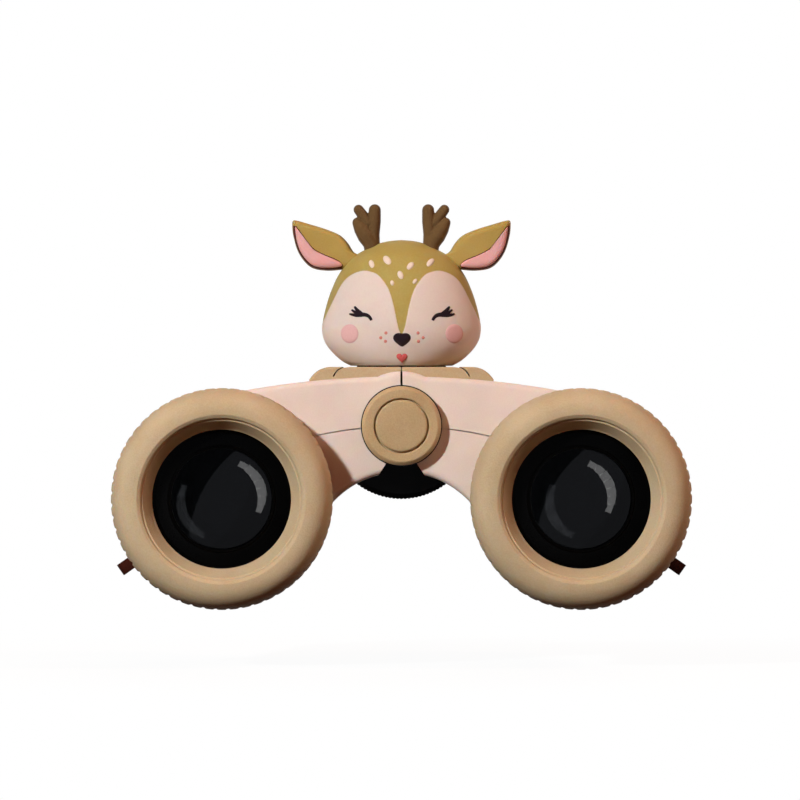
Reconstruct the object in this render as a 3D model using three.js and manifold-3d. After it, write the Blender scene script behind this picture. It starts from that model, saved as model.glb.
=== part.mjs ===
// Toy binoculars with a fawn's head on the bridge, in millimetres, +Z up.
// The origin is under the middle of the part, on the surface that it stands on.
// +X is to the right as seen from the front lenses, and +Y runs back to the eyepieces.

import * as THREE from 'three';
import { mergeVertices } from 'three/addons/utils/BufferGeometryUtils.js';
import Module from 'manifold-3d';

const wasm = await Module();
wasm.setup();

// Clearances
const SEAT_GAP = 0.3; // between a piece and the one that it seats on
const RUN_GAP = 0.15; // round a journal that turns
const SLIDE_GAP = 0.2; // either side of a fork in its groove

// Barrels, one each side
const AXIS_SPACING = 72.2; // between the optical axes with the halves fully open
const BARREL_RADIUS = 21;
const BARREL_WALL = 2.4;
const BARREL_TAIL = 18; // barrel behind the bridge
const TAIL_RADIUS = 17.2;
const TAIL_TAPER = 14; // the taper starts this far before the bridge's back
const TAIL_BORE = 14.8;
const SPIGOT_RADIUS = 19;
const SPIGOT_WALL = 2;
const SPIGOT_LENGTH = 8.3;
const SHOULDER_WIDTH = 1.5; // step that stops the objective cell
const SHOULDER_LENGTH = 2;
const EDGE = 1.2; // chamfer round the body's front and back

// Bridge between the barrels
const HINGE_RISE = 14.7; // hinge axis above the optical axes
const WING_LENGTH = 42.7;
const WING_WALL = 2;
const WING_CROWN = 9.95; // top of the bridge above the hinge axis
const WING_TOP_RADIUS = 180;
const BOSS_RADIUS = 11; // round the hinge
const ARCH_RADIUS = 18.8;
const ARCH_DROP = 9.4; // top of the arch below the hinge axis
const SEAM_RADIUS = 80; // curve of the seam between upper and lower shells
const SPLIT_WIDTH = 0.4; // slit between the two halves
const NOTCH_DROP = 3.2; // tip of the folding notch below the hinge axis
const NOTCH_HALF_ANGLE = THREE.MathUtils.degToRad(33.4);

// Hinge
const SHAFT_RADIUS = 2.5;
const JOURNAL_RADIUS = 5;
const KNUCKLE_WALL = 2.25;
const KNUCKLE_LENGTH = 4;
const NECK_LENGTH = 12.8; // along the hinge
const NECK_HALF_WIDTH = 4.5;
const NECK_ROOM = 0.4;
const WEB_WIDTH = 7.5; // from the neck's side outwards
const FLANGE_LENGTH = 1;
const KEY_RADIUS = 0.8;
const KEY_OFFSET = 6.5;
const KEY_LENGTH = 6.3;
const CAP_RADIUS = 8;
const CAP_LENGTH = 3.2;
const CAP_POCKET_RADIUS = 5.55;
const CAP_POCKET_DEPTH = 2.5;
const CAP_FLOOR = 1.1;
const CAP_HUB_RADIUS = 4.5;
const DISC_LENGTH = 0.8;
const DISC_CROWN = 0.3;
const SHAFT_NUT_RADIUS = 4;
const SHAFT_NUT_LENGTH = 2.5;

// Focus wheel, nut and carriages
const WHEEL_RADIUS = 15.4;
const WHEEL_LENGTH = 9;
const WHEEL_GAP = 0.6; // to the back of the bridge
const WHEEL_DISH_RADIUS = 12.4;
const WHEEL_DISH_DEPTH = 1.6;
const WHEEL_HUB_RADIUS = 6;
const SCREW_THREAD_RADIUS = 4.2;
const NUT_RADIUS = 8;
const NUT_GROOVE_RADIUS = 5.5;
const NUT_LIP = 0.5;
const NUT_SETBACK = 1.7; // from the hinge's end flange
const FORK_THICKNESS = 2;
const FORK_WALL = 2.4;
const FORK_HALF_ANGLE = THREE.MathUtils.degToRad(65);
const ARM_WIDTH = 5;
const CARRIAGE_LENGTH = 6;
const CARRIAGE_WALL = 1.5;
const CARRIAGE_WEB = 3;
const FOCUS_LENS_RADIUS = 10.2;

// Bumper rings
const RING_RADIUS = 22.3;
const RING_LENGTH = 14;
const RING_FACE_INNER = 16.8;
const RING_FACE_OUTER = 19.2;
const RING_ROUND = 3.8; // depth of the rounded front corner
const RING_BACK_RADIUS = 21.3;
const RING_BACK_ROUND = 2.5;
const RING_THROAT = 13.9;
const RING_THROAT_LENGTH = 0.9;

// Objectives
const CELL_APERTURE = 10.2;
const CELL_LIP = 1.5;
const OBJECTIVE_RADIUS = 11.5;
const OBJECTIVE_EDGE = 2;
const OBJECTIVE_SAG = 1;
const LOCK_RING_LENGTH = 2;

// Prisms and eyepieces
const CAGE_LENGTH = 15;
const CAGE_SETBACK = 1; // from the lip at the barrel's back
const CAGE_WALL = 1.2;
const PRISM_WIDTH = 12;
const PRISM_HEIGHT = 13;
const PENTA_LENGTH = 6;
const RAIL_THICKNESS = 2.6;
const TUBE_RADIUS = 12.3;
const TUBE_WALL = 2;
const TUBE_LENGTH = 18;
const TUBE_LIP = 0.8;
const FIELD_LENS_LENGTH = 3;
const EYE_LENS_LENGTH = 4;
const LENS_SPACER = 6;
const EYE_RING_RADIUS = 16.9;
const EYE_RING_LENGTH = 4.4;
const DIOPTER_TRAVEL = 0.6; // of the right eyepiece, each way
const CUP_RADIUS = 16.5;
const CUP_LENGTH = 13.4;
const CUP_ROUND = 2.2;

// Strap lugs
const LUG_ANGLE = THREE.MathUtils.degToRad(35); // below the horizontal
const LUG_REACH = 4.5; // beyond the barrel
const LUG_LENGTH = 10;
const LUG_THICKNESS = 2.5;
const LUG_SETBACK = 4.5; // behind the front of the body
const LUG_SLOT_LENGTH = 6;
const LUG_SLOT_WIDTH = 2;
const LUG_CORNER = 1.5;

// Top pads
const PAD_TOP = 11.9; // above the hinge axis
const PAD_FLAT = 14.2;
const PAD_SHOULDER = 17;
const PAD_REACH = 18.66;
const PAD_SETBACK = 3.7;
const PAD_LENGTH = 38;

// Fawn's head
const HEAD_WIDTH = 32.5;
const HEAD_DEPTH = 27;
const HEAD_HEIGHT = 25.7;
const HEAD_WALL = 1.8;
const STEM_RADIUS = 3.2;
const STEM_FLANGE_RADIUS = 4.6;
const STEM_FLANGE_LENGTH = 2;
const HEAD_SCREW_HEIGHT = 11; // above the head's floor
const HEAD_POST_RADIUS = 3;
const EAR_THICKNESS = 4;
const EAR_EDGE = 0.3;
const LINING_THICKNESS = 0.8;
const ANTLER_THICKNESS = 4.6;
const PEG_RADIUS = 1.4;
const PEG_LENGTH = 4;

// Screws
const SCREW_RADIUS = 1.1;
const SCREW_HEAD_RADIUS = 2;
const SCREW_HEAD_LENGTH = 1.2;
const SHELL_SCREW_LENGTH = 14;
const SHELL_SCREW_SINK = 2.8;
const SHELL_SCREW_OFFSET = 9; // from the hinge axis
const HEAD_SCREW_LENGTH = 16;
const HEAD_SCREW_SINK = 3;
const CAP_SCREW_LENGTH = 8;

// Faces round a full turn
const SMOOTH = 28;
const BODY_SIDES = 24;
const COARSE = 16;
const TINY = 8;
const HEAD_SIDES = 16;
const LOBE_SIDES = 6;

// Stations along Y, from the front of the bumper rings to the back of the eyecups
const TOTAL_LENGTH =
  RING_LENGTH + WING_LENGTH + BARREL_TAIL + EYE_RING_LENGTH + DIOPTER_TRAVEL + CUP_LENGTH + 3 * SEAT_GAP;
const ringFront = -TOTAL_LENGTH / 2;
const ringBack = ringFront + RING_LENGTH;
const wingFront = ringBack + SEAT_GAP;
const wingBack = wingFront + WING_LENGTH;
const barrelBack = wingBack + BARREL_TAIL;
const eyeRingFront = barrelBack + SEAT_GAP;
const eyeRingBack = eyeRingFront + EYE_RING_LENGTH;
const cupFront = eyeRingBack + DIOPTER_TRAVEL + SEAT_GAP;
const cupBack = cupFront + CUP_LENGTH;
const spigotFront = wingFront - SPIGOT_LENGTH;

// Places across the part
const barrelX = AXIS_SPACING / 2;
const barrelZ = RING_RADIUS;
const hingeZ = barrelZ + HINGE_RISE;
const archZ = hingeZ - ARCH_DROP - ARCH_RADIUS;
const wingTopZ = hingeZ + WING_CROWN - WING_TOP_RADIUS;
const padTopZ = hingeZ + PAD_TOP;
const headFloorZ = padTopZ + SEAT_GAP;

// Stations along the hinge
const hingeFront = wingFront + WING_WALL + SEAT_GAP;
const knuckleStep = KNUCKLE_LENGTH + SEAT_GAP;
const neckFront = hingeFront + 2 * knuckleStep;
const neckBack = neckFront + NECK_LENGTH;
const knuckleFronts = {
  left: [hingeFront, neckBack + SEAT_GAP],
  right: [hingeFront + knuckleStep, neckBack + SEAT_GAP + knuckleStep],
};
const flangeFront = neckBack + SEAT_GAP + 2 * knuckleStep;
const flangeBack = flangeFront + FLANGE_LENGTH;
const neckY = (neckFront + neckBack) / 2;
const knuckleBore = JOURNAL_RADIUS + RUN_GAP;
const knuckleRadius = knuckleBore + KNUCKLE_WALL;
const shaftBore = SHAFT_RADIUS + RUN_GAP;

// Colours
const PINK = { color: '#e6c9bb', roughness: 0.55, metalness: 0 };
const TAN = { color: '#c4a37d', roughness: 0.8, metalness: 0 };
const BROWN = { color: '#b59149', roughness: 0.7, metalness: 0 };
const DARK_BROWN = { color: '#6b5135', roughness: 0.7, metalness: 0 };
const ROSE = { color: '#e1a7a4', roughness: 0.7, metalness: 0 };
const BLACK = { color: '#0c0c0c', roughness: 0.45, metalness: 0 };
const GREY = { color: '#4a4a4a', roughness: 0.5, metalness: 0 };
const STEEL = { color: '#b8b8b8', roughness: 0.35, metalness: 1 };
const GLASS = { color: '#c6d2d4', roughness: 0.05, metalness: 0 };

// A closed geometry becomes a solid that can be joined and cut. Triangles that have shrunk to
// nothing on an axis are dropped, and an inside-out geometry, such as a mirrored one, is turned.
function solid(geometry) {
  const bare = geometry.clone();
  bare.deleteAttribute('normal');
  bare.deleteAttribute('uv');
  const merged = mergeVertices(bare, 1e-4);
  const place = merged.getAttribute('position');
  const corners = merged.getIndex().array;
  const triangles = [];
  const [a, b, c] = [new THREE.Vector3(), new THREE.Vector3(), new THREE.Vector3()];
  let volume = 0;
  for (let i = 0; i < corners.length; i += 3) {
    const [p, q, r] = corners.slice(i, i + 3);
    if (p === q || q === r || r === p) continue;
    triangles.push([p, q, r]);
    a.fromBufferAttribute(place, p);
    b.fromBufferAttribute(place, q);
    c.fromBufferAttribute(place, r);
    volume += a.dot(b.cross(c));
  }
  const turned = volume < 0 ? triangles.map(([p, q, r]) => [p, r, q]) : triangles;
  return new wasm.Manifold(
    new wasm.Mesh({
      numProp: 3,
      vertProperties: new Float32Array(place.array),
      triVerts: new Uint32Array(turned.flat()),
    }),
  );
}

function geometryOf(body) {
  const mesh = body.getMesh();
  const geometry = new THREE.BufferGeometry();
  geometry.setAttribute('position', new THREE.BufferAttribute(mesh.vertProperties, 3));
  geometry.setIndex(new THREE.BufferAttribute(mesh.triVerts, 1));
  return geometry;
}

function join(...bodies) {
  return bodies.reduce((whole, body) => whole.add(body));
}

function cut(body, ...tools) {
  return tools.reduce((rest, tool) => rest.subtract(tool), body);
}

function mirrored(body) {
  return solid(geometryOf(body).scale(-1, 1, 1));
}

// A solid turned about the Y axis. The profile is a list of [radius, y].
function turned(profile, sides = COARSE) {
  const points = profile.map(([radius, y]) => new THREE.Vector2(radius, y));
  return solid(new THREE.LatheGeometry(points, sides));
}

// A ring or tube: a closed profile that stays off the axis.
function ring(profile, sides = COARSE) {
  return turned([...profile, profile[0]], sides);
}

function rod(radius, front, back, sides = COARSE) {
  return turned([[0, front], [radius, front], [radius, back], [0, back]], sides);
}

function tube(outer, inner, front, back, sides = COARSE) {
  return ring([[inner, front], [outer, front], [outer, back], [inner, back]], sides);
}

// A slab with its outline in X and Z, from front to back along Y.
function slab(outline, front, back, edge = 0, curveSegments = COARSE) {
  const geometry = new THREE.ExtrudeGeometry(outline, {
    depth: back - front - 2 * edge,
    bevelEnabled: edge > 0,
    bevelThickness: edge,
    bevelSize: edge,
    bevelOffset: -edge,
    bevelSegments: 1,
    curveSegments,
  });
  geometry.rotateX(Math.PI / 2);
  geometry.translate(0, back - edge, 0);
  return solid(geometry);
}

function block(xMin, xMax, yMin, yMax, zMin, zMax) {
  const geometry = new THREE.BoxGeometry(xMax - xMin, yMax - yMin, zMax - zMin);
  geometry.translate((xMin + xMax) / 2, (yMin + yMax) / 2, (zMin + zMax) / 2);
  return solid(geometry);
}

function moved(body, x, y, z) {
  return solid(geometryOf(body).translate(x, y, z));
}

// A solid turned about Y is stood up, so that its profile's y becomes a height.
function upright(body) {
  return solid(geometryOf(body).rotateX(Math.PI / 2));
}

function polygon(points) {
  return new THREE.Shape(points.map(([x, z]) => new THREE.Vector2(x, z)));
}

const binoculars = new THREE.Group();
const barrels = { left: new THREE.Group(), right: new THREE.Group() };
barrels.left.position.set(-barrelX, 0, barrelZ);
barrels.right.position.set(barrelX, 0, barrelZ);
const hinge = new THREE.Group();
hinge.position.set(0, 0, hingeZ);
const head = new THREE.Group();
head.position.set(0, neckY, headFloorZ);
binoculars.add(barrels.left, barrels.right, hinge, head);

function piece(name, body, finish, parent = binoculars) {
  const mesh = new THREE.Mesh(geometryOf(body), new THREE.MeshStandardMaterial(finish));
  mesh.name = name;
  parent.add(mesh);
  return mesh;
}

// Body: two halves that fold about the hinge, each an upper and a lower shell

const beyond = 2 * AXIS_SPACING;
const slit = SPLIT_WIDTH / 2;
const mainBore = BARREL_RADIUS - BARREL_WALL;
const cellBore = SPIGOT_RADIUS - SPIGOT_WALL;
const tubeBore = TUBE_RADIUS + SEAT_GAP;
const shoulderBack = wingFront + EDGE;
const shoulderFront = shoulderBack - SHOULDER_LENGTH;
const backLip = barrelBack - WING_WALL;
const plateHole = CAP_RADIUS - 2 * SLIDE_GAP;

// The bridge across both barrels, with every surface moved in by the inset.
function bridgeOutline(inset) {
  const bossRadius = BOSS_RADIUS - inset;
  const topRadius = WING_TOP_RADIUS - inset;
  const rise = hingeZ - wingTopZ;
  const meetHeight = (topRadius ** 2 - bossRadius ** 2 + rise ** 2) / (2 * rise);
  const meetX = Math.sqrt(topRadius ** 2 - meetHeight ** 2);
  const topMeet = Math.atan2(meetHeight, meetX);
  const bossMeet = Math.atan2(meetHeight - rise, meetX);
  const topEnd = Math.acos(barrelX / topRadius);
  const archEnd = Math.PI / 9;
  const outline = new THREE.Shape();
  outline.absarc(0, wingTopZ, topRadius, topMeet, topEnd, true);
  outline.lineTo(barrelX, barrelZ);
  outline.absarc(0, archZ, ARCH_RADIUS + inset, archEnd, Math.PI - archEnd, false);
  outline.lineTo(-barrelX, barrelZ);
  outline.absarc(0, wingTopZ, topRadius, Math.PI - topEnd, Math.PI - topMeet, true);
  outline.absarc(0, hingeZ, bossRadius, Math.PI - bossMeet, bossMeet, true);
  return outline;
}

// What the right half gives up: the other side of the slit, and the notch under the hinge.
function otherHalf() {
  const slope = Math.tan(NOTCH_HALF_ANGLE);
  const tip = hingeZ - NOTCH_DROP;
  const bottom = hingeZ - ARCH_DROP - EDGE;
  return slab(
    polygon([
      [-beyond, beyond],
      [slit, beyond],
      [slit, tip - slit / slope],
      [(tip - bottom) * slope, bottom],
      [slit, bottom],
      [slit, -beyond],
      [-beyond, -beyond],
    ]),
    ringFront,
    cupBack,
  );
}

function barrelOutside() {
  const taperEnd = barrelBack - EDGE;
  const taperStart = wingBack - TAIL_TAPER;
  const taper = [0, 1, 2, 3, 4].map((step) => {
    const share = step / 4;
    const radius = TAIL_RADIUS + (BARREL_RADIUS - TAIL_RADIUS) * Math.cos((share * Math.PI) / 2);
    return [radius, THREE.MathUtils.lerp(taperStart, taperEnd, share)];
  });
  const profile = [
    [0, spigotFront],
    [SPIGOT_RADIUS, spigotFront],
    [SPIGOT_RADIUS, wingFront],
    [BARREL_RADIUS - EDGE, wingFront],
    [BARREL_RADIUS, wingFront + EDGE],
    ...taper,
    [TAIL_RADIUS - EDGE, barrelBack],
    [0, barrelBack],
  ];
  return moved(turned(profile, BODY_SIDES), barrelX, 0, barrelZ);
}

function barrelInside() {
  const mainEnd = wingBack - WING_WALL;
  const profile = [
    [0, spigotFront - EDGE],
    [cellBore, spigotFront - EDGE],
    [cellBore, shoulderFront],
    [cellBore - SHOULDER_WIDTH, shoulderFront],
    [cellBore - SHOULDER_WIDTH, shoulderBack],
    [mainBore, shoulderBack],
    [mainBore, mainEnd],
    [TAIL_BORE, mainEnd + EDGE],
    [TAIL_BORE, backLip],
    [tubeBore, backLip],
    [tubeBore, barrelBack + EDGE],
    [0, barrelBack + EDGE],
  ];
  return moved(turned(profile, BODY_SIDES), barrelX, 0, barrelZ);
}

function atHinge(body) {
  return moved(body, 0, 0, hingeZ);
}

function neckOpening() {
  const side = NECK_HALF_WIDTH + NECK_ROOM;
  return block(-side, side, neckFront - SEAT_GAP, neckBack + SEAT_GAP, hingeZ, beyond);
}

function lugSlot() {
  const half = LUG_THICKNESS / 2 + SEAT_GAP;
  const front = wingFront + LUG_SETBACK - SEAT_GAP;
  const back = front + LUG_LENGTH + 2 * SEAT_GAP;
  const slot = block(mainBore - BARREL_WALL, BARREL_RADIUS + BARREL_WALL, front, back, -half, half);
  return solid(geometryOf(slot).rotateY(LUG_ANGLE).translate(barrelX, 0, barrelZ));
}

// Screws from below through a web: where the head rests, and the hole for it.
const screwFloorZ = archZ + Math.sqrt(ARCH_RADIUS ** 2 - SHELL_SCREW_OFFSET ** 2);
const screwSeatZ = screwFloorZ + SHELL_SCREW_SINK;

function screwHole(y) {
  const top = screwSeatZ + SHELL_SCREW_LENGTH + SEAT_GAP;
  const headHole = SCREW_HEAD_RADIUS + SEAT_GAP;
  const shankHole = SCREW_RADIUS + SEAT_GAP;
  const profile = [[0, 0], [headHole, 0], [headHole, screwSeatZ], [shankHole, screwSeatZ]];
  const hole = turned([...profile, [shankHole, top], [0, top]], TINY);
  return moved(upright(hole), SHELL_SCREW_OFFSET, y, 0);
}

// The knuckles run on the hinge spine, and a web carries each one from the shell.
function knuckle(front, outside) {
  const back = front + KNUCKLE_LENGTH;
  const barrel = atHinge(rod(knuckleRadius, front, back));
  const webSide = NECK_HALF_WIDTH + WEB_WIDTH;
  const web = block(NECK_HALF_WIDTH, webSide, front, back, hingeZ - BOSS_RADIUS, hingeZ + BOSS_RADIUS);
  return barrel.add(cut(web.intersect(outside), otherHalf()));
}

// All that lies above the seam, or below it when the height is negative.
function seamSide(height, drop) {
  const reach = barrelX + BARREL_RADIUS + BARREL_WALL;
  const end = Math.acos(reach / SEAM_RADIUS);
  const side = new THREE.Shape();
  side.absarc(0, hingeZ - SEAM_RADIUS - drop, SEAM_RADIUS, end, Math.PI - end, false);
  side.lineTo(-reach, height);
  side.lineTo(reach, height);
  return slab(side, ringFront, cupBack, 0, 10);
}

function halfShells(knuckleFrontsOfHalf) {
  const outside = slab(bridgeOutline(0), wingFront, wingBack, EDGE, 6).add(barrelOutside());
  const plates = slab(bridgeOutline(WING_WALL), wingFront + WING_WALL, wingBack - WING_WALL, 0, 6);
  const hollow = plates.add(barrelInside());
  const shell = cut(outside, hollow, otherHalf(), atHinge(rod(plateHole, wingFront - EDGE, wingBack + EDGE)));
  const knuckles = knuckleFrontsOfHalf.map((front) => knuckle(front, outside));
  const screwHoles = knuckleFrontsOfHalf.map((front) => screwHole(front + KNUCKLE_LENGTH / 2));
  const whole = cut(
    join(shell, ...knuckles),
    atHinge(rod(knuckleBore, hingeFront - EDGE, flangeFront)),
    ...screwHoles,
    neckOpening(),
    lugSlot(),
  );
  return {
    upper: whole.intersect(seamSide(beyond, 0)),
    lower: whole.intersect(seamSide(-beyond, SEAT_GAP)),
  };
}

function topPad() {
  const shape = new THREE.Shape();
  shape.moveTo(slit, padTopZ);
  shape.lineTo(PAD_FLAT, padTopZ);
  shape.quadraticCurveTo(PAD_SHOULDER, padTopZ, PAD_REACH, hingeZ + WING_CROWN - EDGE / 2);
  shape.lineTo(PAD_REACH, hingeZ);
  shape.lineTo(slit, hingeZ);
  const front = wingFront + PAD_SETBACK;
  const pad = slab(shape, front, front + PAD_LENGTH, 0, 6);
  return cut(pad, slab(bridgeOutline(-SEAT_GAP), wingFront, wingBack, 0, 6), neckOpening());
}

for (const side of ['left', 'right']) {
  const placed = side === 'left' ? mirrored : (body) => body;
  const shells = halfShells(knuckleFronts[side]);
  piece(`${side}_upper_shell`, placed(shells.upper), PINK);
  piece(`${side}_lower_shell`, placed(shells.lower), PINK);
  piece(`${side}_top_pad`, placed(topPad()), TAN);
}

// Screws: the head lies before the origin, and the shank runs along +Y

function screw(length) {
  const profile = [
    [0, -SCREW_HEAD_LENGTH],
    [SCREW_HEAD_RADIUS, -SCREW_HEAD_LENGTH],
    [SCREW_HEAD_RADIUS, 0],
    [SCREW_RADIUS, 0],
    [SCREW_RADIUS, length],
    [0, length],
  ];
  return turned(profile, TINY);
}

for (const side of ['left', 'right']) {
  const x = side === 'left' ? -SHELL_SCREW_OFFSET : SHELL_SCREW_OFFSET;
  knuckleFronts[side].forEach((front, index) => {
    const mesh = piece(`${side}_shell_screw_${index + 1}`, upright(screw(SHELL_SCREW_LENGTH)), STEEL);
    mesh.position.set(x, front + KNUCKLE_LENGTH / 2, screwSeatZ - SEAT_GAP);
  });
}

// Hinge: a spine that both halves turn on, a shaft through it, and a cap at the front

const capBack = wingFront - SEAT_GAP;
const capFront = capBack - CAP_LENGTH;
const pocketFloor = capFront + CAP_POCKET_DEPTH;
const socketFloor = pocketFloor + CAP_FLOOR;
const shaftFront = socketFloor + SEAT_GAP;
const wheelFront = wingBack + WHEEL_GAP;
const wheelBack = wheelFront + WHEEL_LENGTH;
const shaftNutFront = wheelBack + SEAT_GAP;
const shaftBack = shaftNutFront + SHAFT_NUT_LENGTH;
const screwBore = SCREW_RADIUS + SEAT_GAP;

function hingeSpine() {
  const flangeBottom = PAD_TOP + 2 * SEAT_GAP + HEAD_WALL;
  const flangeTop = flangeBottom + STEM_FLANGE_LENGTH;
  const stem = [
    [0, 0],
    [STEM_RADIUS, 0],
    [STEM_RADIUS, flangeBottom],
    [STEM_FLANGE_RADIUS, flangeBottom],
    [STEM_FLANGE_RADIUS, flangeTop],
    [0, flangeTop],
  ];
  const key = rod(KEY_RADIUS, flangeFront, flangeBack + KEY_LENGTH, TINY);
  const spine = join(
    rod(JOURNAL_RADIUS, hingeFront, flangeBack),
    rod(knuckleRadius, neckFront, neckBack),
    rod(knuckleRadius, flangeFront, flangeBack),
    block(-NECK_HALF_WIDTH, NECK_HALF_WIDTH, neckFront, neckBack, 0, PAD_TOP),
    moved(upright(turned(stem)), 0, neckY, 0),
    moved(key, 0, 0, KEY_OFFSET),
  );
  return cut(spine, rod(shaftBore, hingeFront - EDGE, flangeBack + EDGE));
}

function frontCap() {
  return ring(
    [
      [screwBore, pocketFloor],
      [CAP_POCKET_RADIUS, pocketFloor],
      [CAP_POCKET_RADIUS, capFront],
      [CAP_RADIUS - EDGE / 2, capFront],
      [CAP_RADIUS, capFront + EDGE / 2],
      [CAP_RADIUS, capBack],
      [CAP_HUB_RADIUS, capBack],
      [CAP_HUB_RADIUS, hingeFront - SEAT_GAP],
      [shaftBore, hingeFront - SEAT_GAP],
      [shaftBore, socketFloor],
      [screwBore, socketFloor],
    ],
    SMOOTH,
  );
}

function capDisc() {
  const radius = CAP_POCKET_RADIUS - SEAT_GAP;
  const back = pocketFloor - 2 * SEAT_GAP - SCREW_HEAD_LENGTH;
  const front = back - DISC_LENGTH;
  const crown = front - DISC_CROWN;
  const shoulder = [radius * 0.6, crown + DISC_CROWN * 0.3];
  return turned([[0, crown], shoulder, [radius, front], [radius, back], [0, back]]);
}

function hingeShaft() {
  const hole = rod(screwBore, shaftFront - EDGE, pocketFloor + CAP_SCREW_LENGTH);
  return cut(rod(SHAFT_RADIUS, shaftFront, shaftBack), hole);
}

function shaftNut() {
  const nut = rod(SHAFT_NUT_RADIUS, shaftNutFront, shaftBack, 6);
  return cut(nut, rod(shaftBore, wheelFront, shaftBack + EDGE));
}

piece('hinge_spine', hingeSpine(), GREY, hinge);
piece('hinge_shaft', hingeShaft(), STEEL, hinge);
piece('front_cap', frontCap(), TAN, hinge);
piece('front_cap_disc', capDisc(), TAN, hinge);
piece('front_cap_screw', screw(CAP_SCREW_LENGTH), STEEL, hinge).position.y = pocketFloor - SEAT_GAP;
piece('shaft_nut', shaftNut(), STEEL, hinge);

// Focus: the wheel's thread moves a nut along the hinge, and a fork on each carriage follows it

const nutFront = flangeBack + NUT_SETBACK;
const grooveFront = nutFront + NUT_LIP;
const forkFront = grooveFront + SLIDE_GAP;
const forkBack = forkFront + FORK_THICKNESS;
const grooveBack = forkBack + SLIDE_GAP;
const nutBack = grooveBack + NUT_LIP;
const carriageBack = forkBack + EDGE;
const carriageRadius = mainBore - SEAT_GAP;

function focusWheel() {
  const chamfer = EDGE * 0.7;
  const dishFloor = wheelBack - WHEEL_DISH_DEPTH;
  return ring(
    [
      [shaftBore, flangeBack + SEAT_GAP],
      [SCREW_THREAD_RADIUS, flangeBack + SEAT_GAP],
      [SCREW_THREAD_RADIUS, wheelFront],
      [WHEEL_RADIUS - chamfer, wheelFront],
      [WHEEL_RADIUS, wheelFront + chamfer],
      [WHEEL_RADIUS, wheelBack - chamfer],
      [WHEEL_RADIUS - chamfer, wheelBack],
      [WHEEL_DISH_RADIUS, wheelBack],
      [WHEEL_DISH_RADIUS, dishFloor],
      [WHEEL_HUB_RADIUS, dishFloor],
      [WHEEL_HUB_RADIUS, wheelBack],
      [shaftBore, wheelBack],
    ],
    SMOOTH,
  );
}

function focusNut() {
  const bore = SCREW_THREAD_RADIUS + RUN_GAP;
  const nut = ring([
    [bore, nutFront],
    [NUT_RADIUS, nutFront],
    [NUT_RADIUS, grooveFront],
    [NUT_GROOVE_RADIUS, grooveFront],
    [NUT_GROOVE_RADIUS, grooveBack],
    [NUT_RADIUS, grooveBack],
    [NUT_RADIUS, nutBack],
    [bore, nutBack],
  ]);
  const keyway = rod(KEY_RADIUS + SLIDE_GAP, nutFront - EDGE, nutBack + EDGE, TINY);
  return cut(nut, moved(keyway, 0, 0, KEY_OFFSET));
}

// Seen from the hinge axis, the barrel lies to the right and below.
function focusCarriage() {
  const inner = NUT_GROOVE_RADIUS + SEAT_GAP;
  const outer = inner + FORK_WALL;
  const reach = Math.hypot(barrelX, HINGE_RISE) - carriageRadius + CARRIAGE_WALL;
  const forkShape = new THREE.Shape();
  forkShape.absarc(0, 0, outer, -FORK_HALF_ANGLE, FORK_HALF_ANGLE, false);
  forkShape.absarc(0, 0, inner, FORK_HALF_ANGLE, -FORK_HALF_ANGLE, true);
  const fork = slab(forkShape, forkFront, forkBack, 0, 6);
  const straightArm = block(outer - FORK_WALL / 2, reach, forkFront, forkBack, -ARM_WIDTH / 2, ARM_WIDTH / 2);
  const arm = solid(geometryOf(straightArm).rotateY(Math.atan2(HINGE_RISE, barrelX)));
  const sleeveFront = carriageBack - CARRIAGE_LENGTH;
  const sleeve = tube(carriageRadius, carriageRadius - CARRIAGE_WALL, sleeveFront, carriageBack);
  const webOuter = carriageRadius - CARRIAGE_WALL / 2;
  const web = tube(webOuter, FOCUS_LENS_RADIUS + SEAT_GAP, carriageBack - CARRIAGE_WEB, carriageBack);
  return join(fork, arm, moved(join(sleeve, web), barrelX, 0, -HINGE_RISE));
}

function focusLens() {
  const front = carriageBack - CARRIAGE_WEB + SEAT_GAP;
  const back = carriageBack - SEAT_GAP;
  const bulge = OBJECTIVE_SAG;
  return turned([
    [0, front - bulge],
    [FOCUS_LENS_RADIUS / 2, front - bulge * 0.75],
    [FOCUS_LENS_RADIUS, front],
    [FOCUS_LENS_RADIUS, back],
    [0, back],
  ]);
}

piece('focus_wheel', focusWheel(), BLACK, hinge);
piece('focus_nut', focusNut(), GREY, hinge);
for (const side of ['left', 'right']) {
  const placed = side === 'left' ? mirrored : (body) => body;
  piece(`${side}_focus_carriage`, placed(focusCarriage()), GREY, hinge);
  piece(`${side}_focus_lens`, focusLens(), GLASS, barrels[side]);
}

// Bumper rings and objectives

const cellBack = shoulderFront - SEAT_GAP;
const lensPocket = OBJECTIVE_RADIUS + SEAT_GAP;
const lipBack = spigotFront + CELL_LIP;
const objectiveFront = lipBack + SEAT_GAP;
const objectiveBack = objectiveFront + OBJECTIVE_EDGE;

function bumperRing() {
  const bore = SPIGOT_RADIUS + SEAT_GAP;
  const lip = spigotFront - SEAT_GAP;
  const round = [0, 1, 2, 3].map((step) => {
    const angle = (step / 3) * (Math.PI / 2);
    const radius = RING_FACE_OUTER + (RING_RADIUS - RING_FACE_OUTER) * Math.sin(angle);
    return [radius, ringFront + RING_ROUND * (1 - Math.cos(angle))];
  });
  return ring(
    [
      [RING_FACE_INNER, ringFront],
      ...round,
      [RING_RADIUS, ringBack - RING_BACK_ROUND],
      [RING_BACK_RADIUS, ringBack],
      [bore, ringBack],
      [bore, lip],
      [RING_THROAT, lip],
      [RING_THROAT, lip - RING_THROAT_LENGTH],
      [RING_FACE_INNER - SEAT_GAP, ringFront + 2 * SEAT_GAP],
    ],
    SMOOTH,
  );
}

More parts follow.
